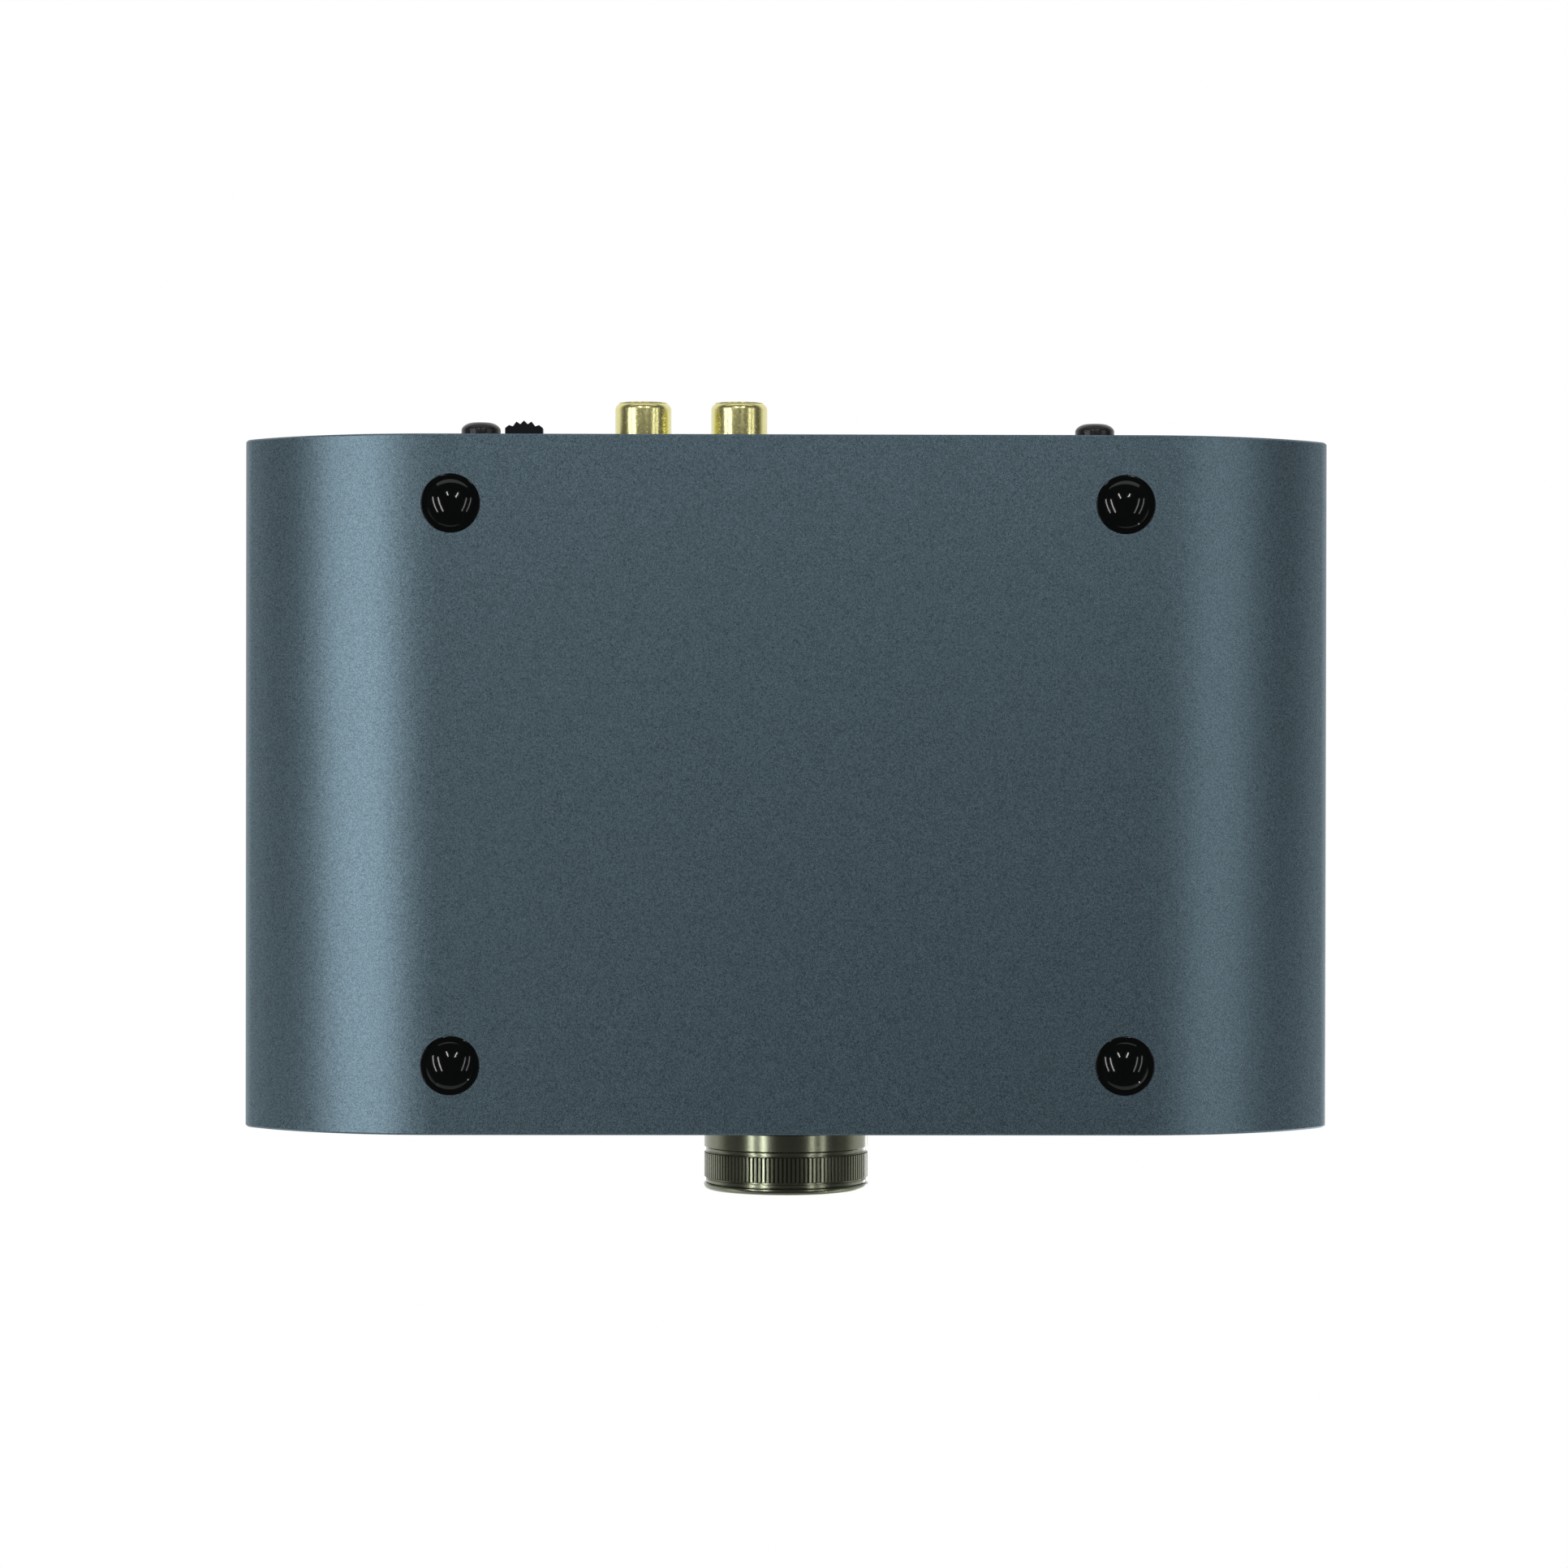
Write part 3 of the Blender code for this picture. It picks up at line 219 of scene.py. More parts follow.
def maths(tree, operation, first, second=None):    # the second is a number or an output
    node = tree.nodes.new("ShaderNodeMath")
    node.operation = operation
    tree.links.new(first, node.inputs[0])
    if isinstance(second, float):
        node.inputs[1].default_value = second
    elif second is not None:
        tree.links.new(second, node.inputs[1])
    return node.outputs["Value"]


def mixed(tree, factor, first, second):    # each of the two is a colour or an output
    node = tree.nodes.new("ShaderNodeMix")
    node.data_type = "RGBA"
    tree.links.new(factor, node.inputs["Factor"])
    for name, value in (("A", first), ("B", second)):
        socket = [s for s in node.inputs if s.name == name and s.type == "RGBA"][0]
        if isinstance(value, tuple):
            socket.default_value = (*value, 1)
        else:
            tree.links.new(value, socket)
    return [s for s in node.outputs if s.type == "RGBA"][0]


def bumped(tree, shader, source, height, strength=1):
    bump = tree.nodes.new("ShaderNodeBump")
    bump.inputs["Strength"].default_value = strength
    bump.inputs["Distance"].default_value = height
    tree.links.new(source, bump.inputs["Height"])
    tree.links.new(bump.outputs["Normal"], shader.inputs["Normal"])


# What a finish has unless its own look says otherwise
usualLook = {"metal": 0, "specular": 0.5, "clear": 0, "detail": 2, "contrast": 0.2, "facets": False}


def finish(name, look):    # a grained finish: colour, roughness and height all follow the grain
    look = {**usualLook, **look}
    material, tree, shader = newMaterial(name)
    shader.inputs["Metallic"].default_value = look["metal"]
    shader.inputs["Specular IOR Level"].default_value = look["specular"]
    shader.inputs["Transmission Weight"].default_value = look["clear"]
    size = look["grain"]
    grain = cellsOf(tree, size) if look["facets"] else noiseOf(tree, size, look["detail"])
    speckle = spread(tree, grain, 0, 1, *about(0.5, look["contrast"]))
    shade = mixed(tree, speckle, look["dark"], look["light"])
    if "cloud" in look:    # slow variation over the whole piece
        cloud = spread(tree, noiseOf(tree, look["cloud"], look["cloudDetail"]), 0, look["cloudShare"])
        shade = mixed(tree, cloud, shade, look["cloudColour"])
    tree.links.new(shade, shader.inputs["Base Color"])
    tree.links.new(spread(tree, grain, *look["rough"]), shader.inputs["Roughness"])
    bumped(tree, shader, grain, look["height"], look["strength"])
    material.diffuse_color = (*look["light"], 1)
    return material


finishes = {
    "blasted": finish("blasted_anodised", {
        "dark": (0.041, 0.060, 0.071), "light": (0.211, 0.307, 0.367), "metal": 1, "rough": (0.39, 0.45),
        "grain": 0.10 * mm, "facets": True, "contrast": 0.5, "height": 0.001 * mm, "strength": 0.2,
        "cloud": 30 * mm, "cloudDetail": 3, "cloudShare": 0.10, "cloudColour": (0.11, 0.16, 0.19)}),
    "panel": finish("panel_anodised", {
        "dark": (0.060, 0.086, 0.104), "light": (0.105, 0.148, 0.176), "metal": 1, "rough": (0.32, 0.38),
        "grain": 0.22 * mm, "height": 0.003 * mm, "strength": 0.5}),
    "gunmetal": finish("turned_gunmetal", {
        "dark": (0.155, 0.167, 0.118), "light": (0.215, 0.230, 0.162), "metal": 1, "rough": (0.205, 0.22),
        "grain": 0.12 * mm, "detail": 0, "height": 0.0004 * mm, "strength": 0.05}),
    "knurlPaintedShade": finish("knurl_valley_painted_shade", {    # painted shade: darker, duller gunmetal between the ridges
        "dark": (0.064, 0.069, 0.050), "light": (0.105, 0.114, 0.082), "metal": 1, "rough": (0.42, 0.50),
        "grain": 0.12 * mm, "detail": 0, "height": 0.0004 * mm, "strength": 0.05}),
    "gold": finish("gold_plating", {
        "dark": (0.70, 0.66, 0.29), "light": (0.82, 0.77, 0.36), "metal": 1, "rough": (0.22, 0.28),
        "grain": 0.4 * mm, "height": 0.0004 * mm, "strength": 0.4}),
    "steel": finish("plated_steel", {
        "dark": (0.42, 0.42, 0.41), "light": (0.62, 0.62, 0.60), "metal": 1, "rough": (0.22, 0.34),
        "grain": 0.4 * mm, "height": 0.002 * mm, "strength": 0.5}),
    "blackSteel": finish("blackened_steel", {
        "dark": (0.010, 0.010, 0.011), "light": (0.024, 0.024, 0.027), "metal": 0.5, "rough": (0.22, 0.34),
        "grain": 0.25 * mm, "height": 0.003 * mm, "strength": 0.5}),
    "rubber": finish("glossy_rubber", {
        "dark": (0.0004, 0.0007, 0.0008), "light": (0.0012, 0.0018, 0.0020), "rough": (0.06, 0.10),
        "specular": 0.3, "grain": 0.35 * mm, "height": 0.0008 * mm, "strength": 0.4}),
    "blackPlastic": finish("moulded_black", {
        "dark": (0.0015, 0.0030, 0.0045), "light": (0.0040, 0.0060, 0.0080), "rough": (0.28, 0.36),
        "specular": 0.25, "grain": 0.2 * mm, "height": 0.003 * mm, "strength": 0.4}),
    "whitePlastic": finish("moulded_white", {
        "dark": (0.66, 0.66, 0.63), "light": (0.76, 0.76, 0.73), "rough": (0.32, 0.44),
        "grain": 0.4 * mm, "height": 0.003 * mm, "strength": 0.4}),
    "redPlastic": finish("moulded_red", {
        "dark": (0.46, 0.020, 0.018), "light": (0.58, 0.035, 0.030), "rough": (0.32, 0.44),
        "grain": 0.4 * mm, "height": 0.003 * mm, "strength": 0.4}),
    "amberPlastic": finish("moulded_amber", {
        "dark": (0.58, 0.33, 0.07), "light": (0.72, 0.45, 0.12), "rough": (0.30, 0.42),
        "grain": 0.5 * mm, "height": 0.003 * mm, "strength": 0.4}),
    "lens": finish("frosted_lens", {
        "dark": (0.78, 0.83, 0.88), "light": (0.86, 0.90, 0.94), "rough": (0.18, 0.30), "clear": 0.7,
        "grain": 0.3 * mm, "height": 0.002 * mm, "strength": 0.4}),
    "sleeve": finish("shrunk_sleeve", {
        "dark": (0.012, 0.014, 0.040), "light": (0.020, 0.024, 0.060), "rough": (0.18, 0.30),
        "grain": 0.8 * mm, "height": 0.006 * mm, "strength": 0.4}),
    "stripe": finish("sleeve_stripe", {
        "dark": (0.46, 0.47, 0.50), "light": (0.56, 0.57, 0.60), "rough": (0.20, 0.32),
        "grain": 0.8 * mm, "height": 0.006 * mm, "strength": 0.4}),
    "ferrite": finish("pressed_ferrite", {
        "dark": (0.035, 0.034, 0.034), "light": (0.075, 0.073, 0.072), "rough": (0.55, 0.75),
        "grain": 0.25 * mm, "height": 0.02 * mm, "strength": 0.7}),
}
print("finishes made,", len(finishes))


# Housing

case = {
    "shoulderRadius": 36 * mm, "endRadius": 5.6 * mm, "wall": 2 * mm, "shoulderSteps": 40, "endSteps": 24,
    "chamfer": 0.25 * mm, "chamferSteps": 1, "sharpAngle": 24, "inset": 2.45 * mm,
    "portSpacing": 89.4 * mm, "portInset": 5.8 * mm, "portRadius": 3 * mm, "portSteps": 16,
    "portBore": 1.8 * mm, "boreSteps": 24, "railThickness": 1.2 * mm, "railGrip": 2.2 * mm,
    "recessRadius": 4.3 * mm, "recessDepth": 1 * mm, "recessEdge": 0.04 * mm, "recessSteps": 96,
}
# Where the section's flat, its shoulder arc and its end arc meet
halfHeight = (sleeveHigh.z - sleeveLow.z) / 2
endCentreX = sleeveHigh.x - case["endRadius"]
shoulderDrop = case["shoulderRadius"] - halfHeight
shoulderRun = math.sqrt((case["shoulderRadius"] - case["endRadius"]) ** 2 - shoulderDrop ** 2)
shoulderSweep = math.degrees(math.atan2(shoulderRun, shoulderDrop))
flatHalf = endCentreX - shoulderRun


def caseSection(inset):    # the lens-ended section, set in evenly
    shoulder = arcPoints(flatHalf, -shoulderDrop, case["shoulderRadius"] - inset, 90, 90 - shoulderSweep,
                         case["shoulderSteps"])
    end = arcPoints(endCentreX, 0, case["endRadius"] - inset, 90 - shoulderSweep, shoulderSweep - 90,
                    case["endSteps"])
    right = shoulder + end[1:-1] + [(x, -z) for x, z in reversed(shoulder)]
    return [(x, z + axisZ) for x, z in right + [(-x, z) for x, z in reversed(right)]]


def wallX(z, inset):    # how far out the set-in section reaches at a height near the board
    rise = abs(z - axisZ) + shoulderDrop
    return flatHalf + math.sqrt((case["shoulderRadius"] - inset) ** 2 - rise ** 2)


footNodes = ["foot_front_left", "foot_front_right", "foot_rear_left", "foot_rear_right"]
screwNodes = ["rear_screw_lower_left", "rear_screw_lower_right", "rear_screw_upper_left",
              "rear_screw_upper_right"]


def makeCase():
    body = plate([caseSection(0)], frontY, rearY)
    roundEdges(body, case["chamfer"], case["chamferSteps"],
               lambda co: min(co.y - frontY, rearY - co.y) < fits["trim"])
    hollow = plate([caseSection(case["wall"])], frontY - fits["overrun"], rearY + fits["overrun"])
    body = carved(body, hollow)

    # screw ports at the corners and rails for the board, clear of both panels
    inner = (frontY + case["inset"], rearY - case["inset"])
    boardLow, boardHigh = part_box("main_board")
    rise = halfHeight - case["portInset"]
    root = halfHeight - case["wall"] / 2
    places = [(x * case["portSpacing"] / 2, z) for x in (-1, 1) for z in (-1, 1)]
    for x, side in places:
        radius = case["portRadius"]
        dome = arcPoints(x, rise, radius, 180, 360, case["portSteps"])
        outline = [(u, axisZ + side * v) for u, v in dome + [(x + radius, root), (x - radius, root)]]
        body = carved(body, plate([outline], *inner), "UNION")
    for side in (-1, 1):
        for low in (boardLow.z - fits["gap"] - case["railThickness"], boardHigh.z + fits["gap"]):
            high = low + case["railThickness"]
            near = boardHigh.x - case["railGrip"]
            half = case["wall"] / 2
            rail = [(near, low), (wallX(low, half), low), (wallX(high, half), high), (near, high)]
            body = carved(body, plate([[(side * x, z) for x, z in rail]], *inner), "UNION")
    for x, side in places:
        ring = ringPoints(x, axisZ + side * rise, case["portBore"], case["boreSteps"])
        body = carved(body, plate([ring], frontY, rearY))

    for node in footNodes:    # a recess for each foot, with its mouth just broken
        centre = middle(node)
        recess = plate([ringPoints(centre.x, centre.y, case["recessRadius"], case["recessSteps"])],
                       sleeveLow.z - fits["overrun"], sleeveLow.z + case["recessDepth"], "Z")
        body = carved(body, recess)
        reach = case["recessRadius"] + fits["trim"]
        roundEdges(body, case["recessEdge"], where=lambda co: abs(co.z - sleeveLow.z) < fits["weld"]
                   and math.hypot(co.x - centre.x, co.y - centre.y) < reach)
    piece("housing_shell", body, ["blasted"], "housing_sleeve", sharp=case["sharpAngle"],
          flats=True)


foot = {
    "radius": 4.27 * mm, "turn": 72, "flat": 1 * mm, "domeEdge": 3.42 * mm, "domeRise": 1.1 * mm,
    "domeSteps": 18, "ledgeDrop": 0.16 * mm, "rimRadius": 0.12 * mm, "rimSteps": 4,
}


def makeFeet():
    for node in footNodes:
        centre, top = middle(node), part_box(node)[1].z
        radius, edge, flat, rise = foot["radius"], foot["domeEdge"], foot["flat"], foot["domeRise"]
        capZ = (edge ** 2 - flat ** 2 + rise ** 2) / (2 * rise)    # the dome is a cap of a ball
        cap = math.hypot(capZ, flat)
        first, last = (math.degrees(math.asin(reach / cap)) for reach in (flat, edge))
        dome = arcPoints(0, capZ, cap, first - 90, last - 90, foot["domeSteps"])
        ledge = dome[-1][1] + foot["ledgeDrop"]
        rim = foot["rimRadius"]
        corner = arcPoints(radius - rim, ledge + rim, rim, -90, 0, foot["rimSteps"])
        profile = [(0, 0)] + dome + [(edge, ledge)] + corner + [(radius, top), (0, top)]
        piece("domed_" + node, turned(profile, centre.x, centre.y, 0, foot["turn"], "Z"), ["rubber"], node,
              sharp=fine["turnedAngle"])


# Panels

panels = {
    "thickness": 2 * mm, "recess": 0.15 * mm, "chamfer": 0.15 * mm, "cornerAngle": 60,
    # what comes through each panel, and the radius that its hole clears
    "front": {"volume_knob": 4.5 * mm, "large_headphone_socket": 5 * mm, "small_headphone_socket": 3.7 * mm,
              "power_button": 2.6 * mm, "gain_button": 2.6 * mm, "status_light_pipe": 1 * mm},
    "rear": {"left_phono_shell": 4.15 * mm, "right_phono_shell": 4.15 * mm, "line_input_socket": 3 * mm,
             "power_inlet": 4 * mm},
    "screwHole": 1.5 * mm, "screwSteps": 32,
    "slotCorner": 0.5 * mm, "slotSteps": 6, "slideTravel": 4 * mm,
}


def panelHoles(side):
    gap = fits["gap"]
    return [ringPoints(middle(node).x, axisZ, radius + gap) for node, radius in panels[side].items()]


def makePanel(name, node, side, holes):
    face, back = out(side, -panels["recess"]), out(side, -panels["recess"] - panels["thickness"])
    rim = caseSection(case["wall"] + fits["gap"])
    body = plate([rim] + holes, back, face)
    roundEdges(body, panels["chamfer"], where=lambda co: abs(co.y - face) < fits["trim"],
               sharper=panels["cornerAngle"])
    piece(name, body, ["panel"], node, flats=True)


def makePanels():
    makePanel("front_plate", "front_panel", "front", panelHoles("front"))

    gap, corner = fits["gap"], panels["slotCorner"]
    holes = panelHoles("rear")
    for node in screwNodes:
        centre = middle(node)
        holes.append(ringPoints(centre.x, centre.z, panels["screwHole"] + gap, panels["screwSteps"]))
    low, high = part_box("input_slider")    # the slide's opening leaves room for its travel
    left, right = low.x - panels["slideTravel"] - gap + corner, high.x + gap - corner
    bottom, top = low.z - gap + corner, high.z + gap - corner
    opening = []
    for x, z, start in ((right, top, 0), (left, top, 90), (left, bottom, 180), (right, bottom, 270)):
        opening += arcPoints(x, z, corner, start, start + 90, panels["slotSteps"])
    makePanel("rear_plate", "rear_panel", "rear", holes + [opening])


screw = {
    "radius": 2.85 * mm, "side": 0.95 * mm, "flat": 1.3 * mm, "fullness": 1.7, "height": 2 * mm,
    "domeSteps": 12, "edge": 0.15 * mm, "shank": 1.5 * mm, "socket": 1.15 * mm, "socketSides": 6,
    "socketDepth": 1.1 * mm,
}


def makeScrews():
    for node in screwNodes:
        low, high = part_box(node)
        centre = (low + high) / 2
        under = high.y - screw["height"]
        shoulder = under + screw["side"] - rearY
        rise = screw["height"] - screw["side"]
        dome = []
        for u, v in arcPoints(0, 0, 1, 0, 90, screw["domeSteps"]):    # fuller than a round one
            u, v = abs(u) ** (2 / screw["fullness"]), v ** (2 / screw["fullness"])
            dome.append((screw["flat"] + (screw["radius"] - screw["flat"]) * u, shoulder + rise * v))
        seat, edge = under - rearY, screw["edge"]
        profile = [(0, low.y - rearY), (screw["shank"] - fits["trim"], low.y - rearY),
                   (screw["shank"], low.y - rearY + fits["gap"]), (screw["shank"], seat),
                   (screw["radius"] - edge, seat), (screw["radius"], seat + edge)]
        profile += dome + [(0, high.y - rearY)]
        head = turned(profile, centre.x, rearY, centre.z)
        key = plate([ringPoints(centre.x, centre.z, screw["socket"], screw["socketSides"])],
                    high.y - screw["socketDepth"], high.y + fits["overrun"])
        piece(node.replace("rear_screw", "button_head"), carved(head, key), ["blackSteel"], node,
              flats=True)


# Volume knob

knob = {
    "flangeRadius": 12.15 * mm, "knurlRadius": 12.08 * mm, "collarRadius": 12.1 * mm,
    "ledgeRadius": 11.84 * mm, "grooveRadius": 11.2 * mm,
    # distances out from the sleeve's front end
    "back": 0.4 * mm, "collarEnd": 2.98 * mm, "ledgeEnd": 3.38 * mm, "knurlStart": 3.70 * mm,
    "knurlEnd": 7.44 * mm, "secondLedge": 7.76 * mm, "secondLedgeEnd": 8.12 * mm,
    "flangeStart": 8.26 * mm, "reach": 9.2 * mm,
    "edge": 0.12 * mm, "rim": 0.7 * mm, "rimSteps": 8, "sharpAngle": 38,
    "ridges": 120, "ridgeSteps": 8, "ridgeDepth": 0.26 * mm, "knurlEdge": 0.10 * mm,
    # how far below the knurl's crest the painted shade begins
    "crestFill": 1.42, "paintedShadeDrop": 0.0325 * mm,
    "dishRadius": 10.4 * mm, "dishDepth": 0.25 * mm, "pocketRadius": 7.8 * mm, "web": 5.6 * mm,
    "faceWall": 1 * mm, "shaftHole": 3.3 * mm, "shaftFlat": 1.8 * mm,
    "pointerLength": 4.2 * mm, "pointerWidth": 0.8 * mm, "pointerDepth": 0.4 * mm, "pointerGap": 1 * mm,
}


def knobProfile():    # from the shaft's hole round by the back to the face
    k = knob
    edge, crest = k["edge"], k["knurlRadius"]
    pocketFloor = k["reach"] - k["web"]
    rim = arcPoints(k["flangeRadius"] - k["rim"], k["reach"] - k["rim"], k["rim"], 0, 90, k["rimSteps"])
    return [
        (0, k["reach"] - k["faceWall"]), (k["shaftHole"], k["reach"] - k["faceWall"]),
        (k["shaftHole"], pocketFloor), (k["pocketRadius"], pocketFloor), (k["pocketRadius"], k["back"]),
        (k["collarRadius"] - edge, k["back"]), (k["collarRadius"], k["back"] + edge),
        (k["collarRadius"], k["collarEnd"] - edge), (k["collarRadius"] - edge, k["collarEnd"]),
        (k["ledgeRadius"], k["collarEnd"] + edge), (k["ledgeRadius"], k["ledgeEnd"]),
        (k["grooveRadius"], k["ledgeEnd"]), (k["grooveRadius"], k["knurlStart"]),
        (crest - k["knurlEdge"], k["knurlStart"]), (crest, k["knurlStart"] + k["knurlEdge"]),
        (crest, k["knurlEnd"] - k["knurlEdge"]), (crest - k["knurlEdge"], k["knurlEnd"]),
        (k["grooveRadius"], k["knurlEnd"]), (k["grooveRadius"], k["secondLedge"]),
        (k["ledgeRadius"], k["secondLedge"]), (k["ledgeRadius"], k["secondLedgeEnd"]),
        (k["grooveRadius"], k["secondLedgeEnd"]), (k["grooveRadius"], k["flangeStart"]),
        (k["flangeRadius"] - edge, k["flangeStart"]),
        (k["flangeRadius"], k["flangeStart"] + edge), *rim, (k["dishRadius"], k["reach"]),
        (k["dishRadius"] - k["dishDepth"], k["reach"] - k["dishDepth"]), (0, k["reach"] - k["dishDepth"]),
    ]


def makeKnob():
    k = knob
    body = turnedOut("front", knobProfile(), 0, k["ridges"] * k["ridgeSteps"])
    weld = fits["weld"]
    for vert in body.verts:
        along = frontY - vert.co.y
        rise = vert.co.z - axisZ
        radius = math.hypot(vert.co.x, rise)
        onBand = k["knurlStart"] - weld < along < k["knurlEnd"] + weld
        if onBand and radius > k["grooveRadius"] + weld:
            phase = math.atan2(rise, vert.co.x) * k["ridges"]
            crest = min(1, abs(math.sin(phase / 2)) * k["crestFill"])    # flat crests between narrow valleys
            keep = min(radius, k["knurlRadius"] - k["ridgeDepth"] * (1 - crest)) / radius
            vert.co.x *= keep
            vert.co.z = axisZ + rise * keep
        elif radius < k["shaftHole"] + weld and rise < -k["shaftFlat"]:
            vert.co.z = axisZ - k["shaftFlat"]
    high = axisZ + k["dishRadius"] - k["pointerGap"]
    low = high - k["pointerLength"]
    face = k["reach"] - k["dishDepth"]
    depth = (out("front", face + fits["overrun"]), out("front", face - k["pointerDepth"]))
    pointer = box(about(0, k["pointerWidth"] / 2), depth, (low, high))

    def paint(spot):    # pale enamel fills the pointer's groove, and painted shade darkens the knurl's valleys and flanks below its crests
        along = frontY - spot.y
        radius = math.hypot(spot.x, spot.z - axisZ)
        sunk = face - k["pointerDepth"] - weld < along < face - fits["trim"]
        if sunk and low - weld < spot.z < high + weld and abs(spot.x) < k["pointerWidth"] / 2 + weld:
            return 1
        # painted shade: the knurl's valley and flank faces take the darker gunmetal coat
        onBand = k["knurlStart"] < along < k["knurlEnd"]
        below = k["grooveRadius"] + weld < radius < k["knurlRadius"] - k["paintedShadeDrop"]
        return 2 if onBand and below else 0

    piece("turned_knob", carved(body, pointer), ["gunmetal", "whitePlastic", "knurlPaintedShade"], "volume_knob",
          body="volume_control", sharp=k["sharpAngle"], paint=paint)


# Sockets

phono = {
    "shellWall": 0.65 * mm, "edgeRadius": 1 * mm, "tipAngle": 84, "tipSteps": 8, "shellTurn": 96,
    "lip": 0.12 * mm, "root": -2.15 * mm, "bevel": 0.1 * mm,
    "insulator": {"radius": 3.2 * mm, "bore": 2.45 * mm, "setBack": 0.3 * mm},
    "contact": {"radius": 2.15 * mm, "bore": 1.65 * mm, "setBack": 0.6 * mm},
}


def makePhonoSockets():
    root, lip, bevel, edge = phono["root"], phono["lip"], phono["bevel"], phono["edgeRadius"]
    for hand, colour in (("left", "white"), ("right", "red")):
        low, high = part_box(hand + "_phono_shell")
        x, radius, reach = (low.x + high.x) / 2, (high.x - low.x) / 2, high.y - rearY
        bore = radius - phono["shellWall"]
        tip = arcPoints(radius - edge, reach - edge, edge, 0, phono["tipAngle"], phono["tipSteps"])
        profile = [(bore, root), (radius, root)] + tip + [(bore + lip, reach), (bore, reach - lip)]
        piece(hand + "_gold_shell", turnedOut("rear", profile, x, phono["shellTurn"]), ["gold"],
              hand + "_phono_shell", sharp=fine["turnedAngle"])
        for part, coat, slot in (("insulator", colour + "Plastic", colour + "_plastic"),
                                 ("contact", "gold", "gold_plate")):
            outer, hole, end = phono[part]["radius"], phono[part]["bore"], reach - phono[part]["setBack"]
            ring = [(hole, root), (outer, root), (outer, end - bevel), (outer - bevel, end),
                    (hole + bevel, end), (hole, end - bevel)]
            piece(f"{hand}_round_{part}", turnedOut("rear", ring, x), [coat], f"{hand}_phono_{part}")


sockets = {
    "seat": 2.45 * mm, "bodyEdge": 0.15 * mm, "bodyEdgeSteps": 1, "noseEdge": 0.1 * mm, "mouth": 0.35 * mm,
    "mouthDepth": 0.25 * mm, "ringWidth": 1.4 * mm, "ringReach": 0.7 * mm, "ringRound": 0.25 * mm,
    "ringEdge": 0.1 * mm, "ringGap": 0.05 * mm, "ringTurn": 80, "pinRound": 0.5 * mm, "pinTurn": 40,
    "roundSteps": 5,
    "large_headphone_socket": {"barrel": 5 * mm, "bore": 3.25 * mm, "depth": 30 * mm, "reach": 0.6 * mm},
    "small_headphone_socket": {"barrel": 3.7 * mm, "bore": 2.25 * mm, "depth": 21 * mm, "reach": 0.6 * mm},
    "line_input_socket": {"barrel": 3 * mm, "bore": 1.8 * mm, "depth": 17 * mm, "reach": 0.6 * mm},
    "power_inlet": {"barrel": 4 * mm, "bore": 2.8 * mm, "depth": 11.45 * mm, "reach": -0.15 * mm},
}


def makeSocket(name, node, side):
    size = sockets[node]
    barrel, bore, reach = size["barrel"], size["bore"], size["reach"]
    low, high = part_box(node)
    x = (low.x + high.x) / 2
    seat = out(side, -sockets["seat"])
    depth = (seat, high.y) if side == "front" else (low.y, seat)
    body = box((low.x, high.x), depth, (low.z, high.z))
    roundEdges(body, sockets["bodyEdge"], sockets["bodyEdgeSteps"])
    start, edge = -sockets["seat"] - fits["overrun"], sockets["noseEdge"]
    nose = [(0, start), (barrel, start), (barrel, reach - edge), (barrel - edge, reach), (0, reach)]
    body = carved(body, turnedOut(side, nose, x), "UNION")
    mouth, beyond = bore + sockets["mouth"], reach + fits["overrun"]
    hole = [(0, -size["depth"]), (bore, -size["depth"]), (bore, reach - sockets["mouthDepth"]),
            (mouth, reach + fits["trim"]), (mouth, beyond), (0, beyond)]
    body = carved(body, turnedOut(side, hole, x))
    piece(name, body, ["blackPlastic"], node, flats=True)


def makeRing(name, node, socketNode, side, coat):
    s = sockets
    inner = s[socketNode]["barrel"] + fits["gap"]
    outer, base, reach, edge = inner + s["ringWidth"], -s["ringGap"], s["ringReach"], s["ringEdge"]
    crown = arcPoints(outer - s["ringRound"], reach - s["ringRound"], s["ringRound"], 0, 90, s["roundSteps"])
    profile = [(inner, base), (outer, base)] + crown + [(inner + edge, reach), (inner, reach - edge)]
    piece(name, turnedOut(side, profile, middle(node).x, s["ringTurn"]), [coat], node,
          sharp=fine["turnedAngle"])


def makeSockets():
    makeSocket("large_socket_body", "large_headphone_socket", "front")
    makeSocket("small_socket_body", "small_headphone_socket", "front")
    makeSocket("line_input_body", "line_input_socket", "rear")
    makeSocket("power_inlet_body", "power_inlet", "rear")
    for size in ("large", "small"):
        makeRing(size + "_ring_nut", size + "_socket_ring", size + "_headphone_socket", "front", "gunmetal")
    makeRing("line_input_ring_nut", "line_input_ring", "line_input_socket", "rear", "steel")
    low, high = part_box("power_inlet_pin")
    radius, root, tip = (high.x - low.x) / 2, low.y - rearY, high.y - rearY
    rounding = sockets["pinRound"]
    crown = arcPoints(radius - rounding, tip - rounding, rounding, 0, 90, sockets["roundSteps"])
    pin = [(0, root), (radius, root)] + crown + [(0, tip)]
    piece("power_inlet_contact", turnedOut("rear", pin, (low.x + high.x) / 2, sockets["pinTurn"]), ["steel"],
          "power_inlet_pin")


# Slide switch, buttons and light

slider = {
    "endRadius": 4 * mm, "teeth": 5, "pitch": 1.11 * mm, "depth": 0.50 * mm, "cornerDrop": 0.44 * mm,
    "edge": 0.02 * mm, "cornerAngle": 50,
}


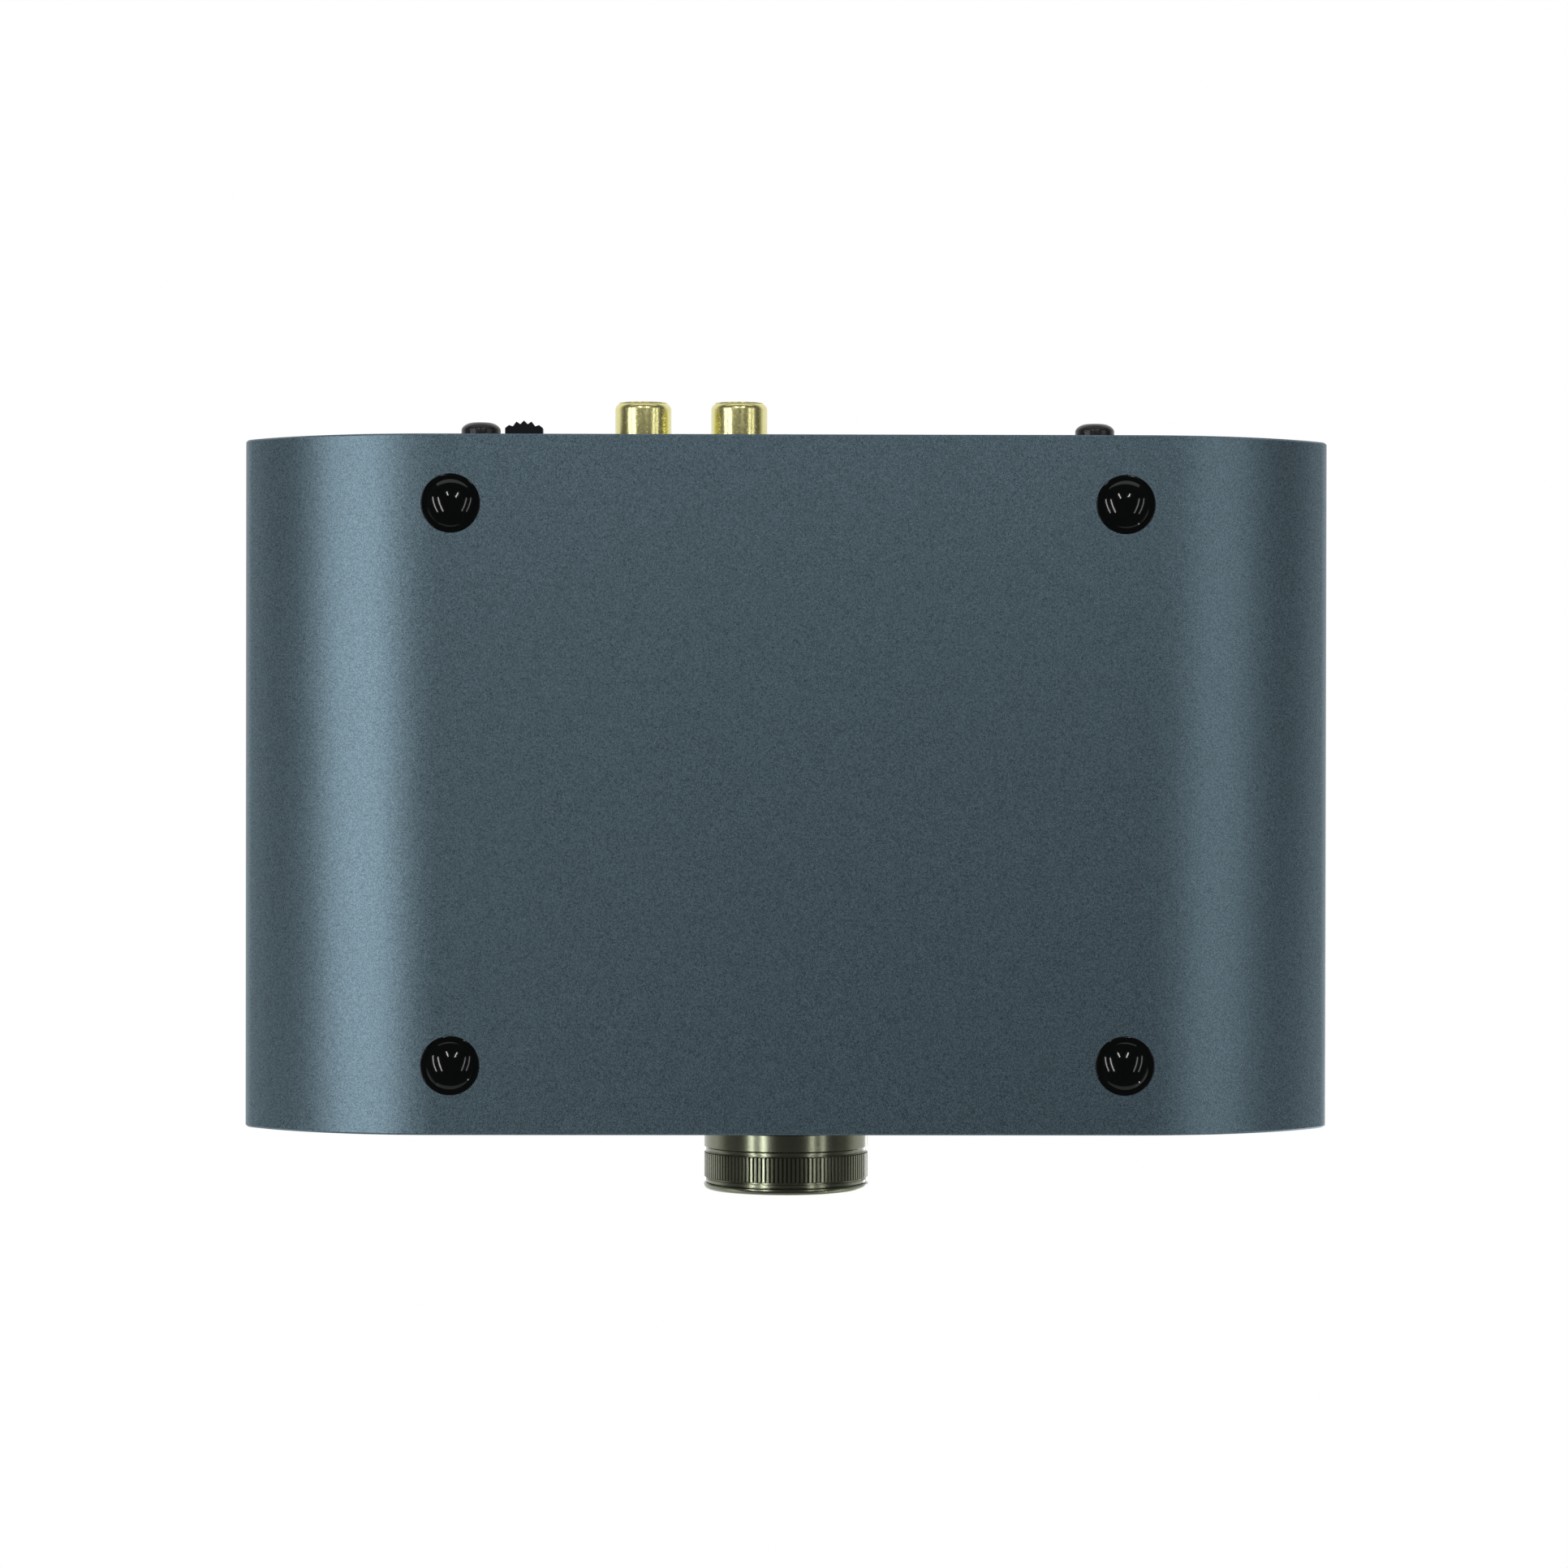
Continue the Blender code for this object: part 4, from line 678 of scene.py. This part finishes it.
def makeSlider():
    low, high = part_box("input_slider")
    half, reach = (high.x - low.x) / 2, high.y - rearY
    centre = reach - slider["endRadius"]
    crown = []
    for step in range(2 * slider["teeth"] + 1):    # tips and roots by turns along the round end
        x = (step - slider["teeth"]) * slider["pitch"] / 2
        drop = 0 if step % 2 else slider["depth"]
        crown.append((x, centre + math.sqrt(slider["endRadius"] ** 2 - x ** 2) - drop))
    corner, root = crown[1][1] - slider["cornerDrop"], low.y - rearY
    outline = [(-half, root), (-half, corner)] + crown[1:-1] + [(half, corner), (half, root)]
    middleX = (low.x + high.x) / 2
    body = plate([[(middleX + x, rearY + y) for x, y in outline]], low.z, high.z, "Z")
    roundEdges(body, slider["edge"], where=lambda co: co.y > rearY - fits["overrun"],
               sharper=slider["cornerAngle"])
    piece("serrated_slider", body, ["blackPlastic"], "input_slider", body="slider",
          flats=True)


button = {
    "cap": 2.6 * mm, "reach": 1 * mm, "round": 0.3 * mm, "roundSteps": 6, "stem": 1.2 * mm,
    "flangeFront": -2.45 * mm, "flangeBack": -3.25 * mm, "dishRadius": 1.9 * mm, "dishFlat": 1.5 * mm,
    "dishDepth": 0.12 * mm, "dishCentre": 0.15 * mm,
}
light = {"lensRadius": 1.6 * mm, "lensSteps": 6, "turn": 40}


def makeButtons():
    b = button
    for name in ("power", "gain"):
        low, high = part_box(name + "_button")
        flange, end, reach = (high.x - low.x) / 2, frontY - high.y, b["reach"]
        crown = arcPoints(b["cap"] - b["round"], reach - b["round"], b["round"], 0, 90, b["roundSteps"])
        dish = [(b["dishRadius"], reach), (b["dishFlat"], reach - b["dishDepth"]),
                (0, reach - b["dishCentre"])]
        profile = [(0, end), (b["stem"], end), (b["stem"], b["flangeBack"]), (flange, b["flangeBack"]),
                   (flange, b["flangeFront"]), (b["cap"], b["flangeFront"])] + crown + dish
        piece(name + "_key", turnedOut("front", profile, (low.x + high.x) / 2), ["gunmetal"],
              name + "_button", body=name + "_key")


def makeLight():
    low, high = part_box("status_light_pipe")
    radius, face, end = (high.x - low.x) / 2, frontY - low.y, frontY - high.y
    start = math.degrees(math.acos(radius / light["lensRadius"]))
    tip = arcPoints(0, face - light["lensRadius"], light["lensRadius"], start, 90, light["lensSteps"])
    pipe = [(0, end), (radius, end)] + tip[:-1] + [(0, face)]
    piece("light_pipe", turnedOut("front", pipe, (low.x + high.x) / 2, light["turn"]), ["lens"],
          "status_light_pipe")


# Board and what stands on it

board = {
    "mask": (0.006, 0.055, 0.030, 1), "maskPale": (0.008, 0.065, 0.036, 1),
    "track": (0.020, 0.130, 0.070, 1),
    "trackScale": 60, "trackWidth": 0.06, "trackRise": 0.03 * mm, "rough": (0.28, 0.42),
    "cloud": 6 * mm, "cloudShare": 0.4, "cloudColour": (0.010, 0.085, 0.045),
}


def boardMaterial():    # solder mask over a net of tracks
    material, tree, shader = newMaterial("solder_mask")
    tracks = onObject(tree, "ShaderNodeTexBrick", board["trackScale"])
    tracks.inputs["Mortar Size"].default_value = board["trackWidth"]
    for name, colour in (("Color1", "mask"), ("Color2", "maskPale"), ("Mortar", "track")):
        tracks.inputs[name].default_value = board[colour]
    cloud = noiseOf(tree, board["cloud"])
    share = spread(tree, cloud, 0, board["cloudShare"])
    shade = mixed(tree, share, tracks.outputs["Color"], board["cloudColour"])
    tree.links.new(shade, shader.inputs["Base Color"])
    tree.links.new(spread(tree, cloud, *board["rough"]), shader.inputs["Roughness"])
    bumped(tree, shader, tracks.outputs["Fac"], board["trackRise"])
    return material


can = {
    "lip": 0.35 * mm, "crimp": 1.8 * mm, "crimpSteps": 8, "topSteps": 5, "rim": 0.9 * mm, "dish": 0.12 * mm,
    "stripe": 0.86, "ventLength": 4.4 * mm, "ventWidth": 0.25 * mm, "ventDepth": 0.2 * mm,
}


def makeCapacitors():
    nodes = [f"{kind}_capacitor_{i}" for kind in ("filter", "coupling") for i in (1, 2)]
    for node in nodes:
        low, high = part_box(node)
        centre = (low + high) / 2
        radius, height = (high.x - low.x) / 2, high.z - low.z
        lip, lid = can["lip"], height - can["dish"]
        groove = arcPoints(radius, can["crimp"], lip, -90, -270, can["crimpSteps"])
        top = arcPoints(radius - lip, height - lip, lip, 0, 90, can["topSteps"])
        inside = [(radius - can["rim"], height), (radius - can["rim"] - fits["trim"], lid), (0, lid)]
        profile = [(0, 0), (radius, 0)] + groove + top + inside
        bm = turned(profile, centre.x, centre.y, low.z, axis="Z")
        long, wide = about(0, can["ventLength"] / 2), about(0, can["ventWidth"] / 2)
        for x, y in ((long, wide), (wide, long)):    # the lid's crossed vent
            sides = [(centre.x + x[0], centre.x + x[1]), (centre.y + y[0], centre.y + y[1])]
            bm = carved(bm, box(*sides, (low.z + lid - can["ventDepth"], high.z + fits["overrun"])))

        def paint(spot):    # the bare lid, and the stripe down one side
            fromAxis = math.hypot(spot.x - centre.x, spot.y - centre.y)
            if spot.z > low.z + can["crimp"] + lip and fromAxis < radius - can["rim"]:
                return 1
            return 2 if spot.x - centre.x > radius * can["stripe"] else 0

        piece("can_" + node, bm, ["sleeve", "steel", "stripe"], node,
              sharp=fine["turnedAngle"], paint=paint)


plainNodes = {
    "steel": ["volume_shaft", "volume_potentiometer_case", "volume_bushing", "volume_washer", "volume_nut",
              "input_switch_case"],
    "blackPlastic": ["phono_socket_block", "power_push_switch", "gain_push_switch", "amplifier_chip_1",
                     "amplifier_chip_2", "voltage_regulator"],
    "whitePlastic": ["status_lamp"],
    "amberPlastic": ["output_relay"],
    "ferrite": ["power_inductor"],
}


def paintNode(node, material):
    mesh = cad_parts[node].data
    mesh.materials.clear()
    mesh.materials.append(material)


def dressFrame():    # the inner nodes keep their own shape
    for coat, nodes in plainNodes.items():
        for node in nodes:
            paintNode(node, finishes[coat])
    paintNode("main_board", boardMaterial())


# Studio

studio = {
    "floorZ": -0.3 * mm, "floorThickness": 1 * mm, "floorHalf": 2.0, "floorShade": (0.97, 0.97, 0.96),
    "cameraPlace": (8.46 * mm, 5.55 * mm, -646.93 * mm), "cameraTurn": (-0.325, 179.305, -0.0917),
    "focalPixels": 5530, "imagePixels": 1932, "sensor": 36, "clip": (0.01, 20),
    "distance": 0.9, "tubeSize": (0.047, 0.7), "tubeTilt": 20,
    # each tube's angle from straight down towards +X, and its brightness
    "tubes": {"leftInner": (36, 16.8), "leftOuter": (54, 13.5),
              "rightInner": (-40, 6.1), "rightOuter": (-56, 4.9)},
    # places, sizes and brightness
    "softboxes": {"rearLeftSpot": ((0.19, 0.44, -0.72), (0.03, 0.25), 35),
                  "rearRightSpot": ((-0.20, 0.41, -0.72), (0.03, 0.25), 35),
                  "frontSpot": ((-0.58, -0.61, -0.22), (0.025, 0.06), 35),
                  "key": ((-0.6, -0.7, 1.3), (1.0, 1.0), 2.2),
                  "frontFill": ((0, -0.9, -0.20), (1.4, 0.28), 0.6),
                  "rearFill": ((0, 0.9, -0.18), (1.4, 0.32), 1.1)},
    # the room's brightness low down, high up and in the two front corners, and the spans of direction over
    # which each comes up or fades
    "below": 0.10, "above": 0.99, "aboveRise": (0.05, 0.4), "corner": 1.61, "cornerFade": (-0.4, -0.1),
    "cornerRise": (-0.3, -0.1), "cornerTop": (0, 0.3), "cornerAside": (0.4, 0.8),
}


def areaLamp(name, place, size, shine):    # shine is the lamp's own radiance
    data = bpy.data.lights.new(name, "AREA")
    data.shape = "RECTANGLE"
    data.size, data.size_y = size
    data.energy = shine * math.pi * size[0] * size[1]
    lamp = bpy.data.objects.new(name, data)
    bpy.context.scene.collection.objects.link(lamp)
    lamp.location = place
    lamp.visible_camera = False
    return lamp


def makeLamps():
    s = studio
    for name, (angle, shine) in s["tubes"].items():
        a = math.radians(angle)
        place = (s["distance"] * math.sin(a), 0, -s["distance"] * math.cos(a))
        tube = areaLamp(name, place, s["tubeSize"], shine)
        tilt = Matrix.Rotation(math.copysign(math.radians(s["tubeTilt"]), a), 3, "Z")
        facing = Matrix.Rotation(-a, 3, "Y") @ Matrix.Rotation(math.pi, 3, "X")
        tube.rotation_euler = (facing @ tilt).to_euler()
    for name, (place, size, shine) in s["softboxes"].items():
        softbox = areaLamp(name, place, size, shine)
        softbox.rotation_euler = (-Vector(place)).to_track_quat("-Z", "Y").to_euler()


def makeFloor():    # pale from above, clear from below
    s = studio
    side, top = about(0, s["floorHalf"]), s["floorZ"]
    floor = looseObject("floor", box(side, side, (top - s["floorThickness"], top)))
    floor.visible_shadow = False
    floor.visible_glossy = False
    material = bpy.data.materials.new("pale_floor")
    material.use_nodes = True
    tree = material.node_tree
    tree.nodes.clear()
    output = tree.nodes.new("ShaderNodeOutputMaterial")
    pale = tree.nodes.new("ShaderNodeBsdfDiffuse")
    pale.inputs["Color"].default_value = (*s["floorShade"], 1)
    clear = tree.nodes.new("ShaderNodeBsdfTransparent")
    geometry = tree.nodes.new("ShaderNodeNewGeometry")
    split = tree.nodes.new("ShaderNodeSeparateXYZ")
    mix = tree.nodes.new("ShaderNodeMixShader")
    tree.links.new(geometry.outputs["Normal"], split.inputs["Vector"])
    tree.links.new(maths(tree, "GREATER_THAN", split.outputs["Z"], 0.5), mix.inputs["Fac"])    # faces up
    tree.links.new(clear.outputs["BSDF"], mix.inputs[1])
    tree.links.new(pale.outputs["BSDF"], mix.inputs[2])
    tree.links.new(mix.outputs["Shader"], output.inputs["Surface"])
    floor.data.materials.append(material)


def makeCamera():
    s = studio
    camera = bpy.data.objects.new("camera", bpy.data.cameras.new("camera"))
    bpy.context.scene.collection.objects.link(camera)
    camera.data.sensor_width = s["sensor"]
    camera.data.lens = s["focalPixels"] / s["imagePixels"] * s["sensor"]
    camera.data.clip_start, camera.data.clip_end = s["clip"]
    camera.location = s["cameraPlace"]
    camera.rotation_euler = [math.radians(a) for a in s["cameraTurn"]]
    bpy.context.scene.camera = camera
    bpy.context.scene.view_settings.view_transform = "Standard"


def makeWorld():    # dark below, pale above, a low glow from the front corners
    s = studio
    world = bpy.data.worlds.new("studio")
    bpy.context.scene.world = world
    world.use_nodes = True
    tree = world.node_tree
    tree.nodes.clear()
    coords = tree.nodes.new("ShaderNodeTexCoord")
    split = tree.nodes.new("ShaderNodeSeparateXYZ")
    tree.links.new(coords.outputs["Generated"], split.inputs["Vector"])
    y, z = split.outputs["Y"], split.outputs["Z"]
    aside = maths(tree, "ABSOLUTE", split.outputs["X"])
    overhead = spread(tree, z, s["below"], s["above"], *s["aboveRise"])
    corner = spread(tree, y, s["corner"], 0, *s["cornerFade"])
    for share in (spread(tree, z, 0, 1, *s["cornerRise"]), spread(tree, z, 1, 0, *s["cornerTop"]),
                  spread(tree, aside, 0, 1, *s["cornerAside"])):
        corner = maths(tree, "MULTIPLY", corner, share)
    room = tree.nodes.new("ShaderNodeBackground")
    tree.links.new(maths(tree, "ADD", overhead, corner), room.inputs["Strength"])
    white = tree.nodes.new("ShaderNodeBackground")    # what the camera sees
    for background in (room, white):
        background.inputs["Color"].default_value = (1, 1, 1, 1)
    path = tree.nodes.new("ShaderNodeLightPath")
    mix = tree.nodes.new("ShaderNodeMixShader")
    output = tree.nodes.new("ShaderNodeOutputWorld")
    tree.links.new(path.outputs["Is Camera Ray"], mix.inputs["Fac"])
    tree.links.new(room.outputs["Background"], mix.inputs[1])
    tree.links.new(white.outputs["Background"], mix.inputs[2])
    tree.links.new(mix.outputs["Shader"], output.inputs["Surface"])


makeCamera()
makeLamps()
makeFloor()
makeWorld()
print("studio made")
makeCase()
makeFeet()
print("housing made")
makePanels()
makeScrews()
print("panels made")
makeKnob()
print("knob made")
makePhonoSockets()
makeSockets()
makeSlider()
makeButtons()
makeLight()
print("sockets and switches made")
makeCapacitors()
dressFrame()
print("inner parts made")
